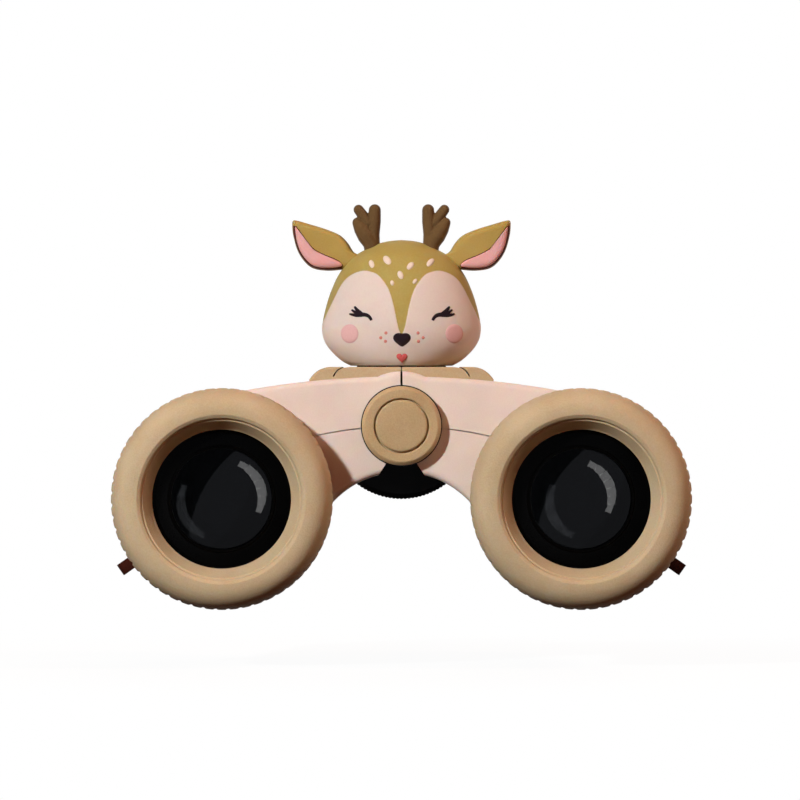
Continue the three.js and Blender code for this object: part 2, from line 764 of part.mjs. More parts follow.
function objectiveCell() {
  const radius = cellBore - SEAT_GAP;
  const slope = CELL_LIP / 2;
  return ring(
    [
      [radius, spigotFront],
      [radius, cellBack],
      [lensPocket, cellBack],
      [lensPocket, lipBack],
      [CELL_APERTURE, lipBack],
      [CELL_APERTURE, spigotFront + slope],
      [lensPocket, spigotFront],
    ],
    BODY_SIDES,
  );
}

function objectiveLens() {
  const front = [3, 2, 1, 0].map((step) => {
    const share = 1 - step / 3;
    return [OBJECTIVE_RADIUS * share, objectiveFront - OBJECTIVE_SAG * (1 - share ** 2)];
  });
  return turned([...front, [OBJECTIVE_RADIUS, objectiveBack], [0, objectiveBack]], BODY_SIDES);
}

function lockRing() {
  const front = objectiveBack + SEAT_GAP;
  return tube(lensPocket - SEAT_GAP, CELL_APERTURE, front, front + LOCK_RING_LENGTH);
}

// Prisms and eyepieces

const cageBack = backLip - CAGE_SETBACK;
const cageFront = cageBack - CAGE_LENGTH;
const cageRadius = TAIL_BORE - SEAT_GAP;

function prismCage() {
  const inner = PRISM_WIDTH / 2 + SEAT_GAP;
  const outer = inner + RAIL_THICKNESS;
  const rails = join(
    block(inner, outer, cageFront, cageBack, -cageRadius, cageRadius),
    block(-outer, -inner, cageFront, cageBack, -cageRadius, cageRadius),
  );
  const rim = rod(cageRadius - CAGE_WALL / 2, cageFront, cageBack);
  return join(tube(cageRadius, cageRadius - CAGE_WALL, cageFront, cageBack), rails.intersect(rim));
}

// A prism's outline lies in Y and Z, and its width runs along X.
function prism(outline) {
  const flat = slab(polygon(outline), -PRISM_WIDTH / 2, PRISM_WIDTH / 2);
  return solid(geometryOf(flat).rotateZ(Math.PI / 2));
}

function halfPentaPrism() {
  const front = cageFront + SEAT_GAP;
  const back = front + PENTA_LENGTH;
  const half = PRISM_HEIGHT / 2;
  return prism([[front, -half], [back, -half], [back, half * 0.4], [front, half]]);
}

function roofPrism() {
  const front = cageFront + PENTA_LENGTH + 2 * SEAT_GAP;
  const back = cageBack - SEAT_GAP;
  const half = PRISM_HEIGHT / 2;
  return prism([[front, -half], [back, -half], [back, half * 0.4], [(front + back) / 2, half], [front, half]]);
}

const tubeFront = backLip;
const tubeBack = tubeFront + TUBE_LENGTH;
const lensBore = TUBE_RADIUS - TUBE_WALL;
const fieldLensFront = tubeFront + TUBE_LIP + SEAT_GAP;
const eyeLensFront = fieldLensFront + FIELD_LENS_LENGTH + LENS_SPACER;

function eyepieceTube() {
  return ring([
    [lensBore - TUBE_LIP, tubeFront],
    [TUBE_RADIUS, tubeFront],
    [TUBE_RADIUS, tubeBack],
    [lensBore, tubeBack],
    [lensBore, tubeFront + TUBE_LIP],
    [lensBore - TUBE_LIP, tubeFront + TUBE_LIP],
  ], BODY_SIDES);
}

// Flat in front and bulging behind, within the given length.
function eyepieceLens(front, length) {
  const radius = lensBore - SEAT_GAP;
  const back = front + length;
  const edge = back - OBJECTIVE_SAG;
  return turned([[0, front], [radius, front], [radius, edge], [radius / 2, back - OBJECTIVE_SAG / 4], [0, back]]);
}

function eyecup() {
  return ring(
    [
      [tubeBore, cupFront],
      [CUP_RADIUS - EDGE, cupFront],
      [CUP_RADIUS, cupFront + EDGE],
      [CUP_RADIUS, cupBack - CUP_ROUND],
      [CUP_RADIUS - CUP_ROUND * 0.3, cupBack - CUP_ROUND * 0.3],
      [CUP_RADIUS - CUP_ROUND, cupBack],
      [tubeBore, cupBack],
    ],
    BODY_SIDES,
  );
}

// Strap lug: a tab with a slot, its root in the barrel's wall, along +X from the barrel's axis

function strapLug() {
  const root = mainBore + SLIDE_GAP;
  const end = BARREL_RADIUS + LUG_REACH;
  const front = wingFront + LUG_SETBACK;
  const back = front + LUG_LENGTH;
  const shape = new THREE.Shape();
  shape.moveTo(root, front);
  shape.lineTo(end - LUG_CORNER, front);
  shape.absarc(end - LUG_CORNER, front + LUG_CORNER, LUG_CORNER, -Math.PI / 2, 0, false);
  shape.absarc(end - LUG_CORNER, back - LUG_CORNER, LUG_CORNER, 0, Math.PI / 2, false);
  shape.lineTo(root, back);
  const slotX = BARREL_RADIUS + (LUG_REACH - LUG_SLOT_WIDTH) / 2;
  const slotY = (front + back - LUG_SLOT_LENGTH) / 2;
  shape.holes.push(
    polygon([
      [slotX, slotY],
      [slotX, slotY + LUG_SLOT_LENGTH],
      [slotX + LUG_SLOT_WIDTH, slotY + LUG_SLOT_LENGTH],
      [slotX + LUG_SLOT_WIDTH, slotY],
    ]),
  );
  const geometry = new THREE.ExtrudeGeometry(shape, {
    depth: LUG_THICKNESS,
    bevelEnabled: false,
    curveSegments: 3,
  });
  return solid(geometry.translate(0, 0, -LUG_THICKNESS / 2));
}

for (const side of ['left', 'right']) {
  const barrel = barrels[side];
  piece(`${side}_bumper_ring`, bumperRing(), TAN, barrel);
  piece(`${side}_objective_cell`, objectiveCell(), BLACK, barrel);
  piece(`${side}_objective_lens`, objectiveLens(), GLASS, barrel);
  piece(`${side}_objective_lock_ring`, lockRing(), BLACK, barrel);
  piece(`${side}_prism_cage`, prismCage(), BLACK, barrel);
  piece(`${side}_half_penta_prism`, halfPentaPrism(), GLASS, barrel);
  piece(`${side}_roof_prism`, roofPrism(), GLASS, barrel);
  piece(`${side}_eyepiece_tube`, eyepieceTube(), BLACK, barrel);
  piece(`${side}_field_lens`, eyepieceLens(fieldLensFront, FIELD_LENS_LENGTH), GLASS, barrel);
  piece(`${side}_eye_lens`, eyepieceLens(eyeLensFront, EYE_LENS_LENGTH), GLASS, barrel);
  piece(`${side}_eyecup`, eyecup(), TAN, barrel);
  const lug = piece(`${side}_strap_lug`, strapLug(), PINK, barrel);
  lug.rotation.y = side === 'left' ? Math.PI - LUG_ANGLE : LUG_ANGLE;
}
const eyeRing = tube(EYE_RING_RADIUS, tubeBore, eyeRingFront, eyeRingBack, BODY_SIDES);
piece('left_eyepiece_ring', eyeRing, PINK, barrels.left);
piece('right_diopter_ring', eyeRing, PINK, barrels.right);

// Fawn's head: two shells that clamp the stem, the ears and the antlers between them

const headHalfWidth = HEAD_WIDTH / 2;
const headSeatY = HEAD_DEPTH / 2 - HEAD_SCREW_SINK;

// The outside of the head, moved out by the given amount all round. The curve is given in
// shares of the half width and of the height.
function headForm(grow) {
  const width = headHalfWidth + grow;
  const height = HEAD_HEIGHT + 2 * grow;
  const top = [[0, 1], [0.353, 0.955], [0.62, 0.859], [0.78, 0.735], [0.875, 0.611]];
  const bottom = [[0.987, 0.363], [1, 0.27], [0.98, 0.19], [0.93, 0.115], [0.785, 0.04], [0.62, 0]];
  const knots = [...top, ...bottom].map(([across, up]) => new THREE.Vector2(across * width, up * height - grow));
  const profile = new THREE.SplineCurve(knots).getPoints(13).map((point) => [Math.max(point.x, 0), point.y]);
  const round = upright(turned([...profile, [0, -grow]], HEAD_SIDES));
  return solid(geometryOf(round).scale(1, (HEAD_DEPTH / 2 + grow) / width, 1));
}

// A place on the head in shares of its half width and its height, from the middle of its floor.
function onHead(across, up) {
  return new THREE.Vector2(across * headHalfWidth, up * HEAD_HEIGHT);
}

const earPegPlace = onHead(0.492, 0.833);
const antlerPegPlace = onHead(0.382, 0.817);

function earPeg(radius) {
  const peg = rod(radius, 0, PEG_LENGTH * 1.5, TINY);
  return moved(solid(geometryOf(peg).rotateZ(-Math.PI / 2)), earPegPlace.x, 0, earPegPlace.y);
}

function antlerPeg(radius) {
  return moved(upright(rod(radius, 0, PEG_LENGTH * 1.5, TINY)), antlerPegPlace.x, 0, antlerPegPlace.y);
}

function pegHoles() {
  const ear = earPeg(PEG_RADIUS + SEAT_GAP);
  const antler = antlerPeg(PEG_RADIUS + SEAT_GAP);
  return join(ear, mirrored(ear), antler, mirrored(antler));
}

function headShells() {
  const outside = headForm(0);
  const stemHole = upright(rod(STEM_RADIUS + SEAT_GAP, -HEAD_WALL, 2 * HEAD_WALL));
  const wall = cut(outside, headForm(-HEAD_WALL), stemHole, pegHoles());
  const postRod = moved(rod(HEAD_POST_RADIUS, -HEAD_DEPTH, HEAD_DEPTH), 0, 0, HEAD_SCREW_HEIGHT);
  const post = postRod.intersect(outside);
  const holes = ring([
    [0, headSeatY - HEAD_SCREW_LENGTH - SEAT_GAP],
    [screwBore, headSeatY - HEAD_SCREW_LENGTH - SEAT_GAP],
    [screwBore, headSeatY],
    [SCREW_HEAD_RADIUS + SEAT_GAP, headSeatY],
    [SCREW_HEAD_RADIUS + SEAT_GAP, HEAD_DEPTH],
    [0, HEAD_DEPTH],
  ], TINY);
  const whole = cut(wall.add(post), moved(holes, 0, 0, HEAD_SCREW_HEIGHT));
  const halfGap = SEAT_GAP / 2;
  const side = (yMin, yMax) => block(-HEAD_WIDTH, HEAD_WIDTH, yMin, yMax, -HEAD_HEIGHT, 2 * HEAD_HEIGHT);
  return {
    front: whole.intersect(side(-HEAD_DEPTH, -halfGap)),
    rear: whole.intersect(side(halfGap, HEAD_DEPTH)),
  };
}

// An outline that starts at a place on the head and runs through others, side by side.
function outlineOnHead(start, ...sides) {
  const shape = new THREE.Shape();
  const first = onHead(...start);
  shape.moveTo(first.x, first.y);
  sides.forEach((places) => shape.splineThru(places.map((place) => onHead(...place))));
  return shape;
}

// The ear and its lining on the right.
function earOutline() {
  const upper = [[0.597, 0.903], [0.671, 0.973], [0.769, 1.035], [0.935, 1.082], [1.132, 1.121], [1.366, 1.156]];
  const outer = [[1.36, 1.035], [1.311, 0.922], [1.231, 0.837], [1.114, 0.774]];
  return outlineOnHead([0.492, 0.864], upper, [...outer, [0.935, 0.755], [0.751, 0.763], [0.492, 0.786]]);
}

function liningOutline() {
  const tip = [1.338, 1.105];
  const inner = [[1.286, 1.035], [1.151, 0.938], [0.978, 0.872], [0.794, 0.821], [0.732, 0.786]];
  const outer = [[0.935, 0.77], [1.102, 0.79], [1.212, 0.85], [1.289, 0.93], [1.335, 1.031], tip];
  return outlineOnHead(tip, inner, outer);
}

function ear() {
  const half = EAR_THICKNESS / 2;
  const leaf = slab(earOutline(), -half, half, EAR_EDGE, 3);
  return cut(leaf, headForm(SEAT_GAP)).add(earPeg(PEG_RADIUS));
}

function earLining() {
  const back = -EAR_THICKNESS / 2 - SEAT_GAP;
  return slab(liningOutline(), back - LINING_THICKNESS, back, 0, 3);
}

// Each lobe of an antler in shares of the head: its middle, its half width and its half height.
const ANTLER_LOBES = [
  { across: 0.4, up: 0.996, wide: 0.117, tall: 0.125 },
  { across: 0.338, up: 1.14, wide: 0.077, tall: 0.14 },
  { across: 0.425, up: 1.097, wide: 0.117, tall: 0.093 },
  { across: 0.504, up: 1.187, wide: 0.083, tall: 0.09 },
  { across: 0.517, up: 1.101, wide: 0.092, tall: 0.062 },
];

function antler() {
  const lobes = ANTLER_LOBES.map(({ across, up, wide, tall }) => {
    const middle = onHead(across, up);
    const half = onHead(wide, tall);
    const ball = new THREE.SphereGeometry(1, TINY, LOBE_SIDES);
    return solid(ball.scale(half.x, ANTLER_THICKNESS / 2, half.y).translate(middle.x, 0, middle.y));
  });
  return cut(join(...lobes), headForm(SEAT_GAP)).add(antlerPeg(PEG_RADIUS));
}

const shells = headShells();
piece('head_front_shell', shells.front, BROWN, head);
piece('head_rear_shell', shells.rear, BROWN, head);
for (const side of ['left', 'right']) {
  const placed = side === 'left' ? mirrored : (body) => body;
  piece(`${side}_ear`, placed(ear()), BROWN, head);
  piece(`${side}_ear_lining`, placed(earLining()), ROSE, head);
  piece(`${side}_antler`, placed(antler()), DARK_BROWN, head);
}
const headScrew = piece('head_screw', screw(HEAD_SCREW_LENGTH), STEEL, head);
headScrew.position.set(0, headSeatY + SEAT_GAP, HEAD_SCREW_HEIGHT);
headScrew.rotation.z = Math.PI;

export default binoculars;
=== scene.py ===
# %% [markdown]
# Toy binoculars with a fawn's head, dressed for a photograph.
# The imported part is loaded first: its nodes give the main sizes and every moving body used below.

# %% load the part
import math
from contextlib import contextmanager
import bmesh
import bpy
import numpy as np
from mathutils import Matrix, Vector


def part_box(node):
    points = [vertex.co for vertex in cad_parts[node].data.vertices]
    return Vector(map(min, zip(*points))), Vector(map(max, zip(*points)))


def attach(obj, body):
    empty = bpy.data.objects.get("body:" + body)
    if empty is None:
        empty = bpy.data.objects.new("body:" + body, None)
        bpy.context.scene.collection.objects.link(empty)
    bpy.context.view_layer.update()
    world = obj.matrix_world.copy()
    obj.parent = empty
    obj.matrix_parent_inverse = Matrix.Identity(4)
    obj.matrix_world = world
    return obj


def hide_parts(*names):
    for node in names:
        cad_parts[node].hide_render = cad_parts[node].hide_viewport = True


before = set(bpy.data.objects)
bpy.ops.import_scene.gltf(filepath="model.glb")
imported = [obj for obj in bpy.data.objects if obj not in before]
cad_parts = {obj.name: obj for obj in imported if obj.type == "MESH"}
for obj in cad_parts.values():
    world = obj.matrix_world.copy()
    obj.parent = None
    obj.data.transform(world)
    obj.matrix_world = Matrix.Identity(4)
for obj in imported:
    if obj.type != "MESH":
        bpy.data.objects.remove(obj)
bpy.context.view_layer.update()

MM = 0.001
SIDES = ("left", "right")

# %% [markdown]
# The photograph was taken from straight ahead with a long lens, so both rings look like true circles.
# A camera a metre and a half away with a very long focal length gives the same flat view.
# It looks along +Y, a little above the hinge.

# %% camera
CAMERA_PLACE = (-0.3, -1547.0, 42.2)
FOCAL_LENGTH, SENSOR_WIDTH = 337.5, 36.0


def linked(name, data):
    """A new object for some data, linked into the scene."""
    made = bpy.data.objects.new(name, data)
    bpy.context.scene.collection.objects.link(made)
    return made


camera_data = bpy.data.cameras.new("camera")
camera_data.sensor_width, camera_data.lens = SENSOR_WIDTH, FOCAL_LENGTH
camera_data.clip_start, camera_data.clip_end = 0.01, 20.0
camera = linked("camera", camera_data)
camera.location = [value * MM for value in CAMERA_PLACE]
camera.rotation_euler = (math.radians(90.0), 0.0, 0.0)
bpy.context.scene.camera = camera
bpy.context.scene.view_settings.view_transform = "Standard"
print("camera at", tuple(camera.location))

# %% [markdown]
# A shader is a small sum: noise times a strength, plus a colour, and so on.
# Drawing each Math node by hand hides that sum, so this class wraps one socket and lets Python operators
# add the nodes. Colours and vectors use Mix and Vector Math, and every other node comes from one method.

# %% shader sums
class Wire:
    """One output socket of a shader tree that can be used in sums."""

    def __init__(self, tree, socket):
        self.tree = tree
        self.socket = socket

    @staticmethod
    def node(tree, kind, settings=None, inputs=None, output=0):
        """Add a node of a kind: its settings first, then the values or links of its sockets."""
        made = tree.nodes.new(kind)
        for key, value in (settings or {}).items():
            setattr(made, key, value)
        for key, value in (inputs or {}).items():
            if isinstance(value, Wire):
                tree.links.new(value.socket, made.inputs[key])
            else:
                made.inputs[key].default_value = value
        return Wire(tree, made.outputs[output])

    def maths(self, operation, *values):
        """Add a Math node, which works on single values only."""
        inputs = dict(enumerate(values))
        return Wire.node(self.tree, "ShaderNodeMath", {"operation": operation}, inputs)

    def __add__(self, other):
        return self.maths("ADD", self, other)

    def __radd__(self, other):
        return self.maths("ADD", other, self)

    def __sub__(self, other):
        return self.maths("SUBTRACT", self, other)

    def __rsub__(self, other):
        return self.maths("SUBTRACT", other, self)

    def __mul__(self, other):
        return self.maths("MULTIPLY", self, other)

    def __rmul__(self, other):
        return self.maths("MULTIPLY", other, self)

    def between(self, low, high):
        """A smooth ramp from 0 at low to 1 at high."""
        inputs = {"Value": self, "From Min": low, "From Max": high}
        return Wire.node(self.tree, "ShaderNodeMapRange", {"interpolation_type": "SMOOTHSTEP"}, inputs)

    def blend(self, first, second):
        """A colour between two, mixed by this value."""
        inputs = {0: self, 6: first, 7: second}
        return Wire.node(self.tree, "ShaderNodeMix", {"data_type": "RGBA"}, inputs, 2)


def colour(red, green, blue):
    """An sRGB colour, 0 to 255, as the linear RGBA value that sockets take."""
    parts = [value / 255.0 for value in (red, green, blue)]
    linear = [p / 12.92 if p < 0.04045 else ((p + 0.055) / 1.055) ** 2.4 for p in parts]
    return (*linear, 1.0)


print("shader sums ready; mid grey is", round(colour(128, 128, 128)[0], 3), "in linear light")

# %% [markdown]
# Every finish starts the same way: a new material, its Principled node, and coordinates to hang noise on.
# Object coordinates are in metres, so noise sizes are given in millimetres and turned into a scale here.
# Bump gives a fine grain its light and shade without adding a single face. Soft rubber and plastic are never
# quite opaque, so a share of the light may soak in and leave again close by.

# %% material tools
def blank_material(name):
    """A new material with its tree, its Principled node and the object's own coordinates in metres."""
    material = bpy.data.materials.new(name)
    material.use_nodes = True
    tree = material.node_tree
    surface = tree.nodes["Principled BSDF"]
    place = Wire.node(tree, "ShaderNodeTexCoord", output="Object")
    return material, tree, surface, place


def noise(tree, place, size_mm, detail=2.0):
    """Noise whose patches are about size_mm wide."""
    inputs = {"Vector": place, "Scale": 1.0 / (size_mm * MM), "Detail": detail, "Roughness": 0.55}
    return Wire.node(tree, "ShaderNodeTexNoise", {"normalize": True}, inputs, "Fac")


def feed(tree, surface, **values):
    """Set or link sockets of the Principled node, with spaces written as underscores."""
    for key, value in values.items():
        socket = surface.inputs[key.replace("_", " ")]
        if isinstance(value, Wire):
            tree.links.new(value.socket, socket)
        else:
            socket.default_value = value


def relief(tree, height, depth_mm):
    """A bump normal from a height between 0 and 1."""
    inputs = {"Height": height, "Distance": depth_mm * MM, "Strength": 1.0}
    return Wire.node(tree, "ShaderNodeBump", {}, inputs, "Normal")


SOAK_MM, SOAK_RADIUS = 1.1, (1.0, 0.3, 0.12)


def soak(tree, surface, weight):
    """Let a share of the light enter a soft skin and leave close by, reddened."""
    feed(tree, surface, Subsurface_Weight=weight, Subsurface_Scale=SOAK_MM * MM)
    feed(tree, surface, Subsurface_Radius=SOAK_RADIUS)


print("light soaks in by about", SOAK_MM, "mm")

# %% [markdown]
# Most of this toy is moulded: a matt skin with a very fine grain, slightly uneven in tone.
# One recipe serves all of those finishes. Fine noise gives the grain, broad noise gives the uneven tone,
# and both nudge the roughness. Noise in the object's own millimetres keeps the grain one size everywhere.

# %% moulded finishes
CLOUD_MM, MOTTLE, WARM = 11.0, (0.3, 0.7), 0.3


def moulded(name, light, deep, roughness=0.5, grain_mm=0.3, depth_mm=0.008, coat=0.0, warmth=0.0, shine=0.3):
    """A skin between two tones, with a grain of some size and depth; warmth lets light soak in."""
    material, tree, surface, place = blank_material(name)
    grain = noise(tree, place, grain_mm)
    cloud = noise(tree, place, CLOUD_MM, 3.0)
    tone = cloud.between(*MOTTLE) * 0.55 + grain.between(*MOTTLE) * 0.45
    rough = roughness + (grain - 0.5) * 0.16 + (cloud - 0.5) * 0.1
    feed(tree, surface, Base_Color=tone.blend(colour(*deep), colour(*light)), Roughness=rough)
    feed(tree, surface, Normal=relief(tree, grain, depth_mm), Coat_Weight=coat, Coat_Roughness=0.3)
    feed(tree, surface, Specular_IOR_Level=shine)
    soak(tree, surface, warmth)
    return material


RING_TAN = moulded("ring tan rubber", (194, 173, 142), (180, 157, 124), 0.62, 0.32, 0.08, warmth=WARM)
KNOB_TAN = moulded("cap tan plastic", (190, 164, 127), (172, 144, 106), 0.5, 0.32, 0.11, warmth=WARM)
PAD_TAN = moulded("pad tan rubber", (184, 163, 132), (172, 148, 114), 0.55, 0.3, 0.03, warmth=WARM)
PINK = moulded("pink plastic", (222, 205, 195), (214, 195, 184), 0.46, 0.3, 0.01, coat=0.1, warmth=WARM)
# The strap lugs are of the pink body plastic; their colour is darkened to the deep rose-brown of that pink in
# shade, as painted shade.
LUG_PAINTED_SHADE = moulded("lug pink with painted shade", (66, 30, 22), (56, 25, 18), 0.5, 0.3, 0.012, shine=0.12)
BLACK = moulded("black plastic", (13, 13, 13), (7, 7, 7), 0.4, 0.3, 0.012)
CELL_BLACK = moulded("cell black", (5, 5, 5), (2, 2, 2), 0.3, 0.3, 0.003, shine=0.1)
GREY = moulded("grey plastic", (112, 112, 114), (88, 88, 90), 0.5, 0.4, 0.02)
EAR_BROWN = moulded("ear brown", (177, 150, 86), (168, 140, 74), 0.55, 0.3, 0.01, warmth=WARM)
ROSE = moulded("ear lining rose", (227, 172, 168), (221, 162, 160), warmth=WARM)
# Dark brown for the leaf under the ear lining: painted shadow for the shaded gap round the lining.
LINING_SHADE_PAINT = moulded("lining painted shadow brown", (92, 42, 30), (78, 34, 24))
ANTLER = moulded("antler brown", (106, 81, 52), (92, 68, 42), 0.38, 0.4, 0.02)
CREAM = moulded("cream dots", (226, 207, 192), (220, 199, 183))
CHEEK = moulded("cheek pink", (216, 172, 169), (210, 162, 160))
FRECKLE = moulded("freckle pink", (216, 142, 128), (206, 126, 114))
INK = moulded("dark paint", (40, 29, 36), (32, 23, 29), 0.4, 0.3, 0.006)
MOUTH = moulded("mouth red", (204, 96, 93), (192, 82, 82), 0.42, 0.3, 0.006)
print("moulded finishes:", len(bpy.data.materials))

# %% [markdown]
# Screws and shafts are turned steel, and the lenses and prisms are glass.
# Only the front lenses are seen into, so they alone are clear; the rest is dark and shiny and renders faster.
# A little dust and haze keeps the polish from looking like a mirror.

# %% steel and glass
def metal(name, light, deep, roughness):
    """Turned steel: fine streaks along the axis of the part and a few dull patches."""
    material, tree, surface, place = blank_material(name)
    stretch = {"operation": "MULTIPLY"}
    squeezed = Wire.node(tree, "ShaderNodeVectorMath", stretch, {0: place, 1: (1.0, 0.08, 1.0)})
    streak = noise(tree, squeezed, 0.25)
    patch = noise(tree, place, 3.0, 3.0).between(0.35, 0.7)
    feed(tree, surface, Base_Color=patch.blend(colour(*light), colour(*deep)), Metallic=1.0)
    feed(tree, surface, Roughness=roughness + streak * 0.18, Normal=relief(tree, streak, 0.004))
    return material


def glass(name, tint, roughness):
    """A small moulded lens or prism seen as dark coated glass, with a trace of dust."""
    material, tree, surface, place = blank_material(name)
    dust = noise(tree, place, 0.5, 4.0).between(0.66, 0.8)
    haze = noise(tree, place, 6.0)
    feed(tree, surface, Base_Color=(dust * 0.12).blend(colour(*tint), colour(150, 150, 155)))
    feed(tree, surface, Roughness=roughness + dust * 0.12 + haze * 0.02)
    feed(tree, surface, Coat_Weight=1.0, Coat_Roughness=0.02, Specular_IOR_Level=0.6)
    return material


def clear_glass(name):
    """Smoky lens glass: light fades on its way to the dark barrel, and the front face reflects a little."""
    material, tree, surface, place = blank_material(name)
    dust = noise(tree, place, 0.5, 4.0).between(0.68, 0.85)
    haze = noise(tree, place, 5.0)
    feed(tree, surface, Base_Color=haze.blend(colour(96, 100, 104), colour(110, 114, 118)))
    feed(tree, surface, Roughness=0.004 + dust * 0.05, Transmission_Weight=1.0, IOR=1.55)
    return material


STEEL = metal("steel", (176, 177, 180), (140, 141, 146), 0.3)
LENS = glass("coated lens", (7, 7, 9), 0.03)
CLEAR = clear_glass("clear lens glass")
PRISM = glass("prism glass", (60, 64, 66), 0.05)
print("finishes in all:", len(bpy.data.materials))

# %% [markdown]
# Nearly every round piece of this toy could be turned on a lathe, so it is drawn as a half section and spun.
# Moulded corners are never knife-sharp: the section's corners are rounded with small arcs first,
# and it is those arcs that catch the thin highlights of a real moulding.

# %% section tools
EDGE_SHARE = 0.49


def rounded(points, radii, steps=5):
    """The points of an open section with its corners rounded; radii is one number or one per point."""
    radii = [radii] * len(points) if isinstance(radii, (int, float)) else radii
    out = [points[0]]
    for before, here, after, radius in zip(points, points[1:], points[2:], radii[1:]):
        a, b, c = (np.array(p, float) for p in (before, here, after))
        to_a, to_c = a - b, c - b
        reach = min(np.linalg.norm(to_a), np.linalg.norm(to_c)) * EDGE_SHARE
        half = math.acos(np.clip(to_a @ to_c / np.linalg.norm(to_a) / np.linalg.norm(to_c), -1, 1)) / 2
        cut = min(radius / max(math.tan(half), 1e-6), reach)
        start, end = b + to_a / np.linalg.norm(to_a) * cut, b + to_c / np.linalg.norm(to_c) * cut
        for step in range(steps + 1):
            t = step / steps
            out.append(tuple((1 - t) ** 2 * start + 2 * t * (1 - t) * b + t * t * end))
    out.append(points[-1])
    return out


def profile(corners):
    """A rounded section from corners given as (radius, y, rounding)."""
    return rounded([corner[:2] for corner in corners], [corner[2] for corner in corners])


def curve(points, steps=12, loop=False):
    """Points of a smooth curve through the given ones."""
    points = np.array(points, float)
    count = len(points)
    out = []
    for i in range(count if loop else count - 1):
        near = [i - 1, i, i + 1, i + 2]
        near = [k % count for k in near] if loop else [min(max(k, 0), count - 1) for k in near]
        a, b, c, d = points[near]
        for t in np.arange(steps) / steps:
            pull = (c - a) * t + (2 * a - 5 * b + 4 * c - d) * t * t + (3 * b - a - 3 * c + d) * t ** 3
            out.append(b + 0.5 * pull)
    return np.array(out if loop else out + [points[-1]])


print("a square corner rounded:", len(rounded([(0, 0), (1, 0), (1, 1)], 0.2)), "points")

# %% [markdown]
# A spun section is a grid: a row of points for each point of the section, a column for each step of the turn.
# The same grid builder also serves the head, the pads and the ears further down, so it stands alone here.
# Each finished mesh goes through one door, which shades it, dresses it and ties it to the body it moves with.

# %% mesh tools
@contextmanager
def opened(mesh):
    """A mesh opened for editing in a with block and written back after it."""
    work = bmesh.new()
    work.from_mesh(mesh)
    yield work
    work.to_mesh(mesh)
    work.free()


def add_piece(name, mesh, finish, body, nodes, sharp=32.0):
    """Shade a mesh, give it a finish, and tie it to its body and to the nodes it stands for."""
    mesh.validate()
    with opened(mesh) as work:
        bmesh.ops.remove_doubles(work, verts=work.verts, dist=1e-7)
        bmesh.ops.recalc_face_normals(work, faces=work.faces)
    mesh.shade_smooth()
    mesh.set_sharp_from_angle(angle=math.radians(sharp))
    mesh.materials.clear()
    mesh.materials.append(finish)
    made = linked(name, mesh)
    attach(made, body)
    if nodes:
        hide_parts(*nodes)
    return made


def grid_mesh(name, rows, close_rows=False, close_columns=True):
    """A mesh over rows of points in millimetres; a row or column may be joined up at its ends."""
    rows = np.asarray(rows, float)
    count, width = rows.shape[:2]
    faces = []
    for i in range(count if close_rows else count - 1):
        for j in range(width if close_columns else width - 1):
            a, b = i * width, ((i + 1) % count) * width
            k = (j + 1) % width
            faces.append((a + j, a + k, b + k, b + j))
    mesh = bpy.data.meshes.new(name)
    mesh.from_pydata((rows.reshape(-1, 3) * MM).tolist(), [], faces)
    return mesh


def spun(name, section, centre, sides=96, closed=True, dent=None):
    """Spin a section of (radius, y) points round a Y axis at centre = (x, z); dent shifts the radius."""
    angles = np.arange(sides) * 2 * math.pi / sides
    rows = []
    for radius, y in section:
        radii = np.full(sides, max(radius, 1e-4))
        if dent:
            radii = radii - dent(radius, y, angles)
        x = centre[0] + radii * np.sin(angles)
        z = centre[1] + radii * np.cos(angles)
        rows.append(np.stack([x, np.full(sides, y), z], axis=1))
    return grid_mesh(name, rows, close_rows=closed)


print("mesh tools ready: opened, add_piece, grid_mesh and spun")

# %% [markdown]
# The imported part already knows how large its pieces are, so the main sizes are measured on its nodes.
# A node's box gives its middle, its reach along an axis and, where it is round, its radius.
# The axes of the two barrels and of the hinge come first, because most pieces are spun round one of them.

# %% measures
def middle(node):
    """Middle of a node's box, in millimetres."""
    low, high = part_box(node)
    return (low + high) / 2 / MM


def span(node, axis):
    """Lowest and highest value of a node along an axis, in millimetres."""
    low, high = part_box(node)
    return low[axis] / MM, high[axis] / MM


def radius_of(node):
    """Half the width of a node, in millimetres."""
    low, high = span(node, 0)
    return (high - low) / 2


BARREL = {side: (middle(f"{side}_bumper_ring").x, middle(f"{side}_bumper_ring").z) for side in SIDES}
HINGE = (0.0, middle("front_cap").z)
print("barrel axes (x, z):", BARREL, "hinge:", HINGE)

# %% [markdown]
# A soft rubber bumper rolls over the front of each barrel, with narrow finger grooves all round its rim.
# Separate groove cutters would need a boolean each, so the lathe itself pulls its radius in at each groove.
# The pull fades out before the front edge, which leaves the face of the ring a clean circle.

# %% bumper rings
GROOVES, GROOVE_DEPTH, GROOVE_SHARE = 56, 0.3, 0.12
GROOVED_RADIUS, GROOVE_START, GROOVE_FADE = 19.9, 3.4, 2.8
GROOVE_END, GROOVE_END_FADE, GROOVE_LEAST = 2.4, 1.6, 0.4
RING_MOUTH, RING_BORE, NOSE_LENGTH, NOSE_POWER = 17.4, 19.35, 7.4, 0.88
LIP_STEP, HOOD_FRONT, HOOD_BACK, HOOD_END = 16.05, 15.75, 14.25, 13.95
ROW_MM = 0.45


def notches(angles, count, share):
    """1 in the middle of each of count notches round a circle, falling off within a share of the pitch."""
    phase = (angles * count / (2 * math.pi)) % 1.0 - 0.5
    return np.exp(-(phase / share) ** 2)


def groove_dent(front, back):
    """Depth of the finger grooves at a radius, a y and an array of angles."""
    def dent(radius, y, angles):
        rise = np.clip((y - front - GROOVE_START) / GROOVE_FADE, 0, 1)
        rise = rise * np.clip((back - GROOVE_END - y) / GROOVE_END_FADE, GROOVE_LEAST, 1)
        rise = rise * rise * (3 - 2 * rise) * (1.0 if radius > GROOVED_RADIUS else 0.0)
        return GROOVE_DEPTH * rise * notches(angles, GROOVES, GROOVE_SHARE)
    return dent


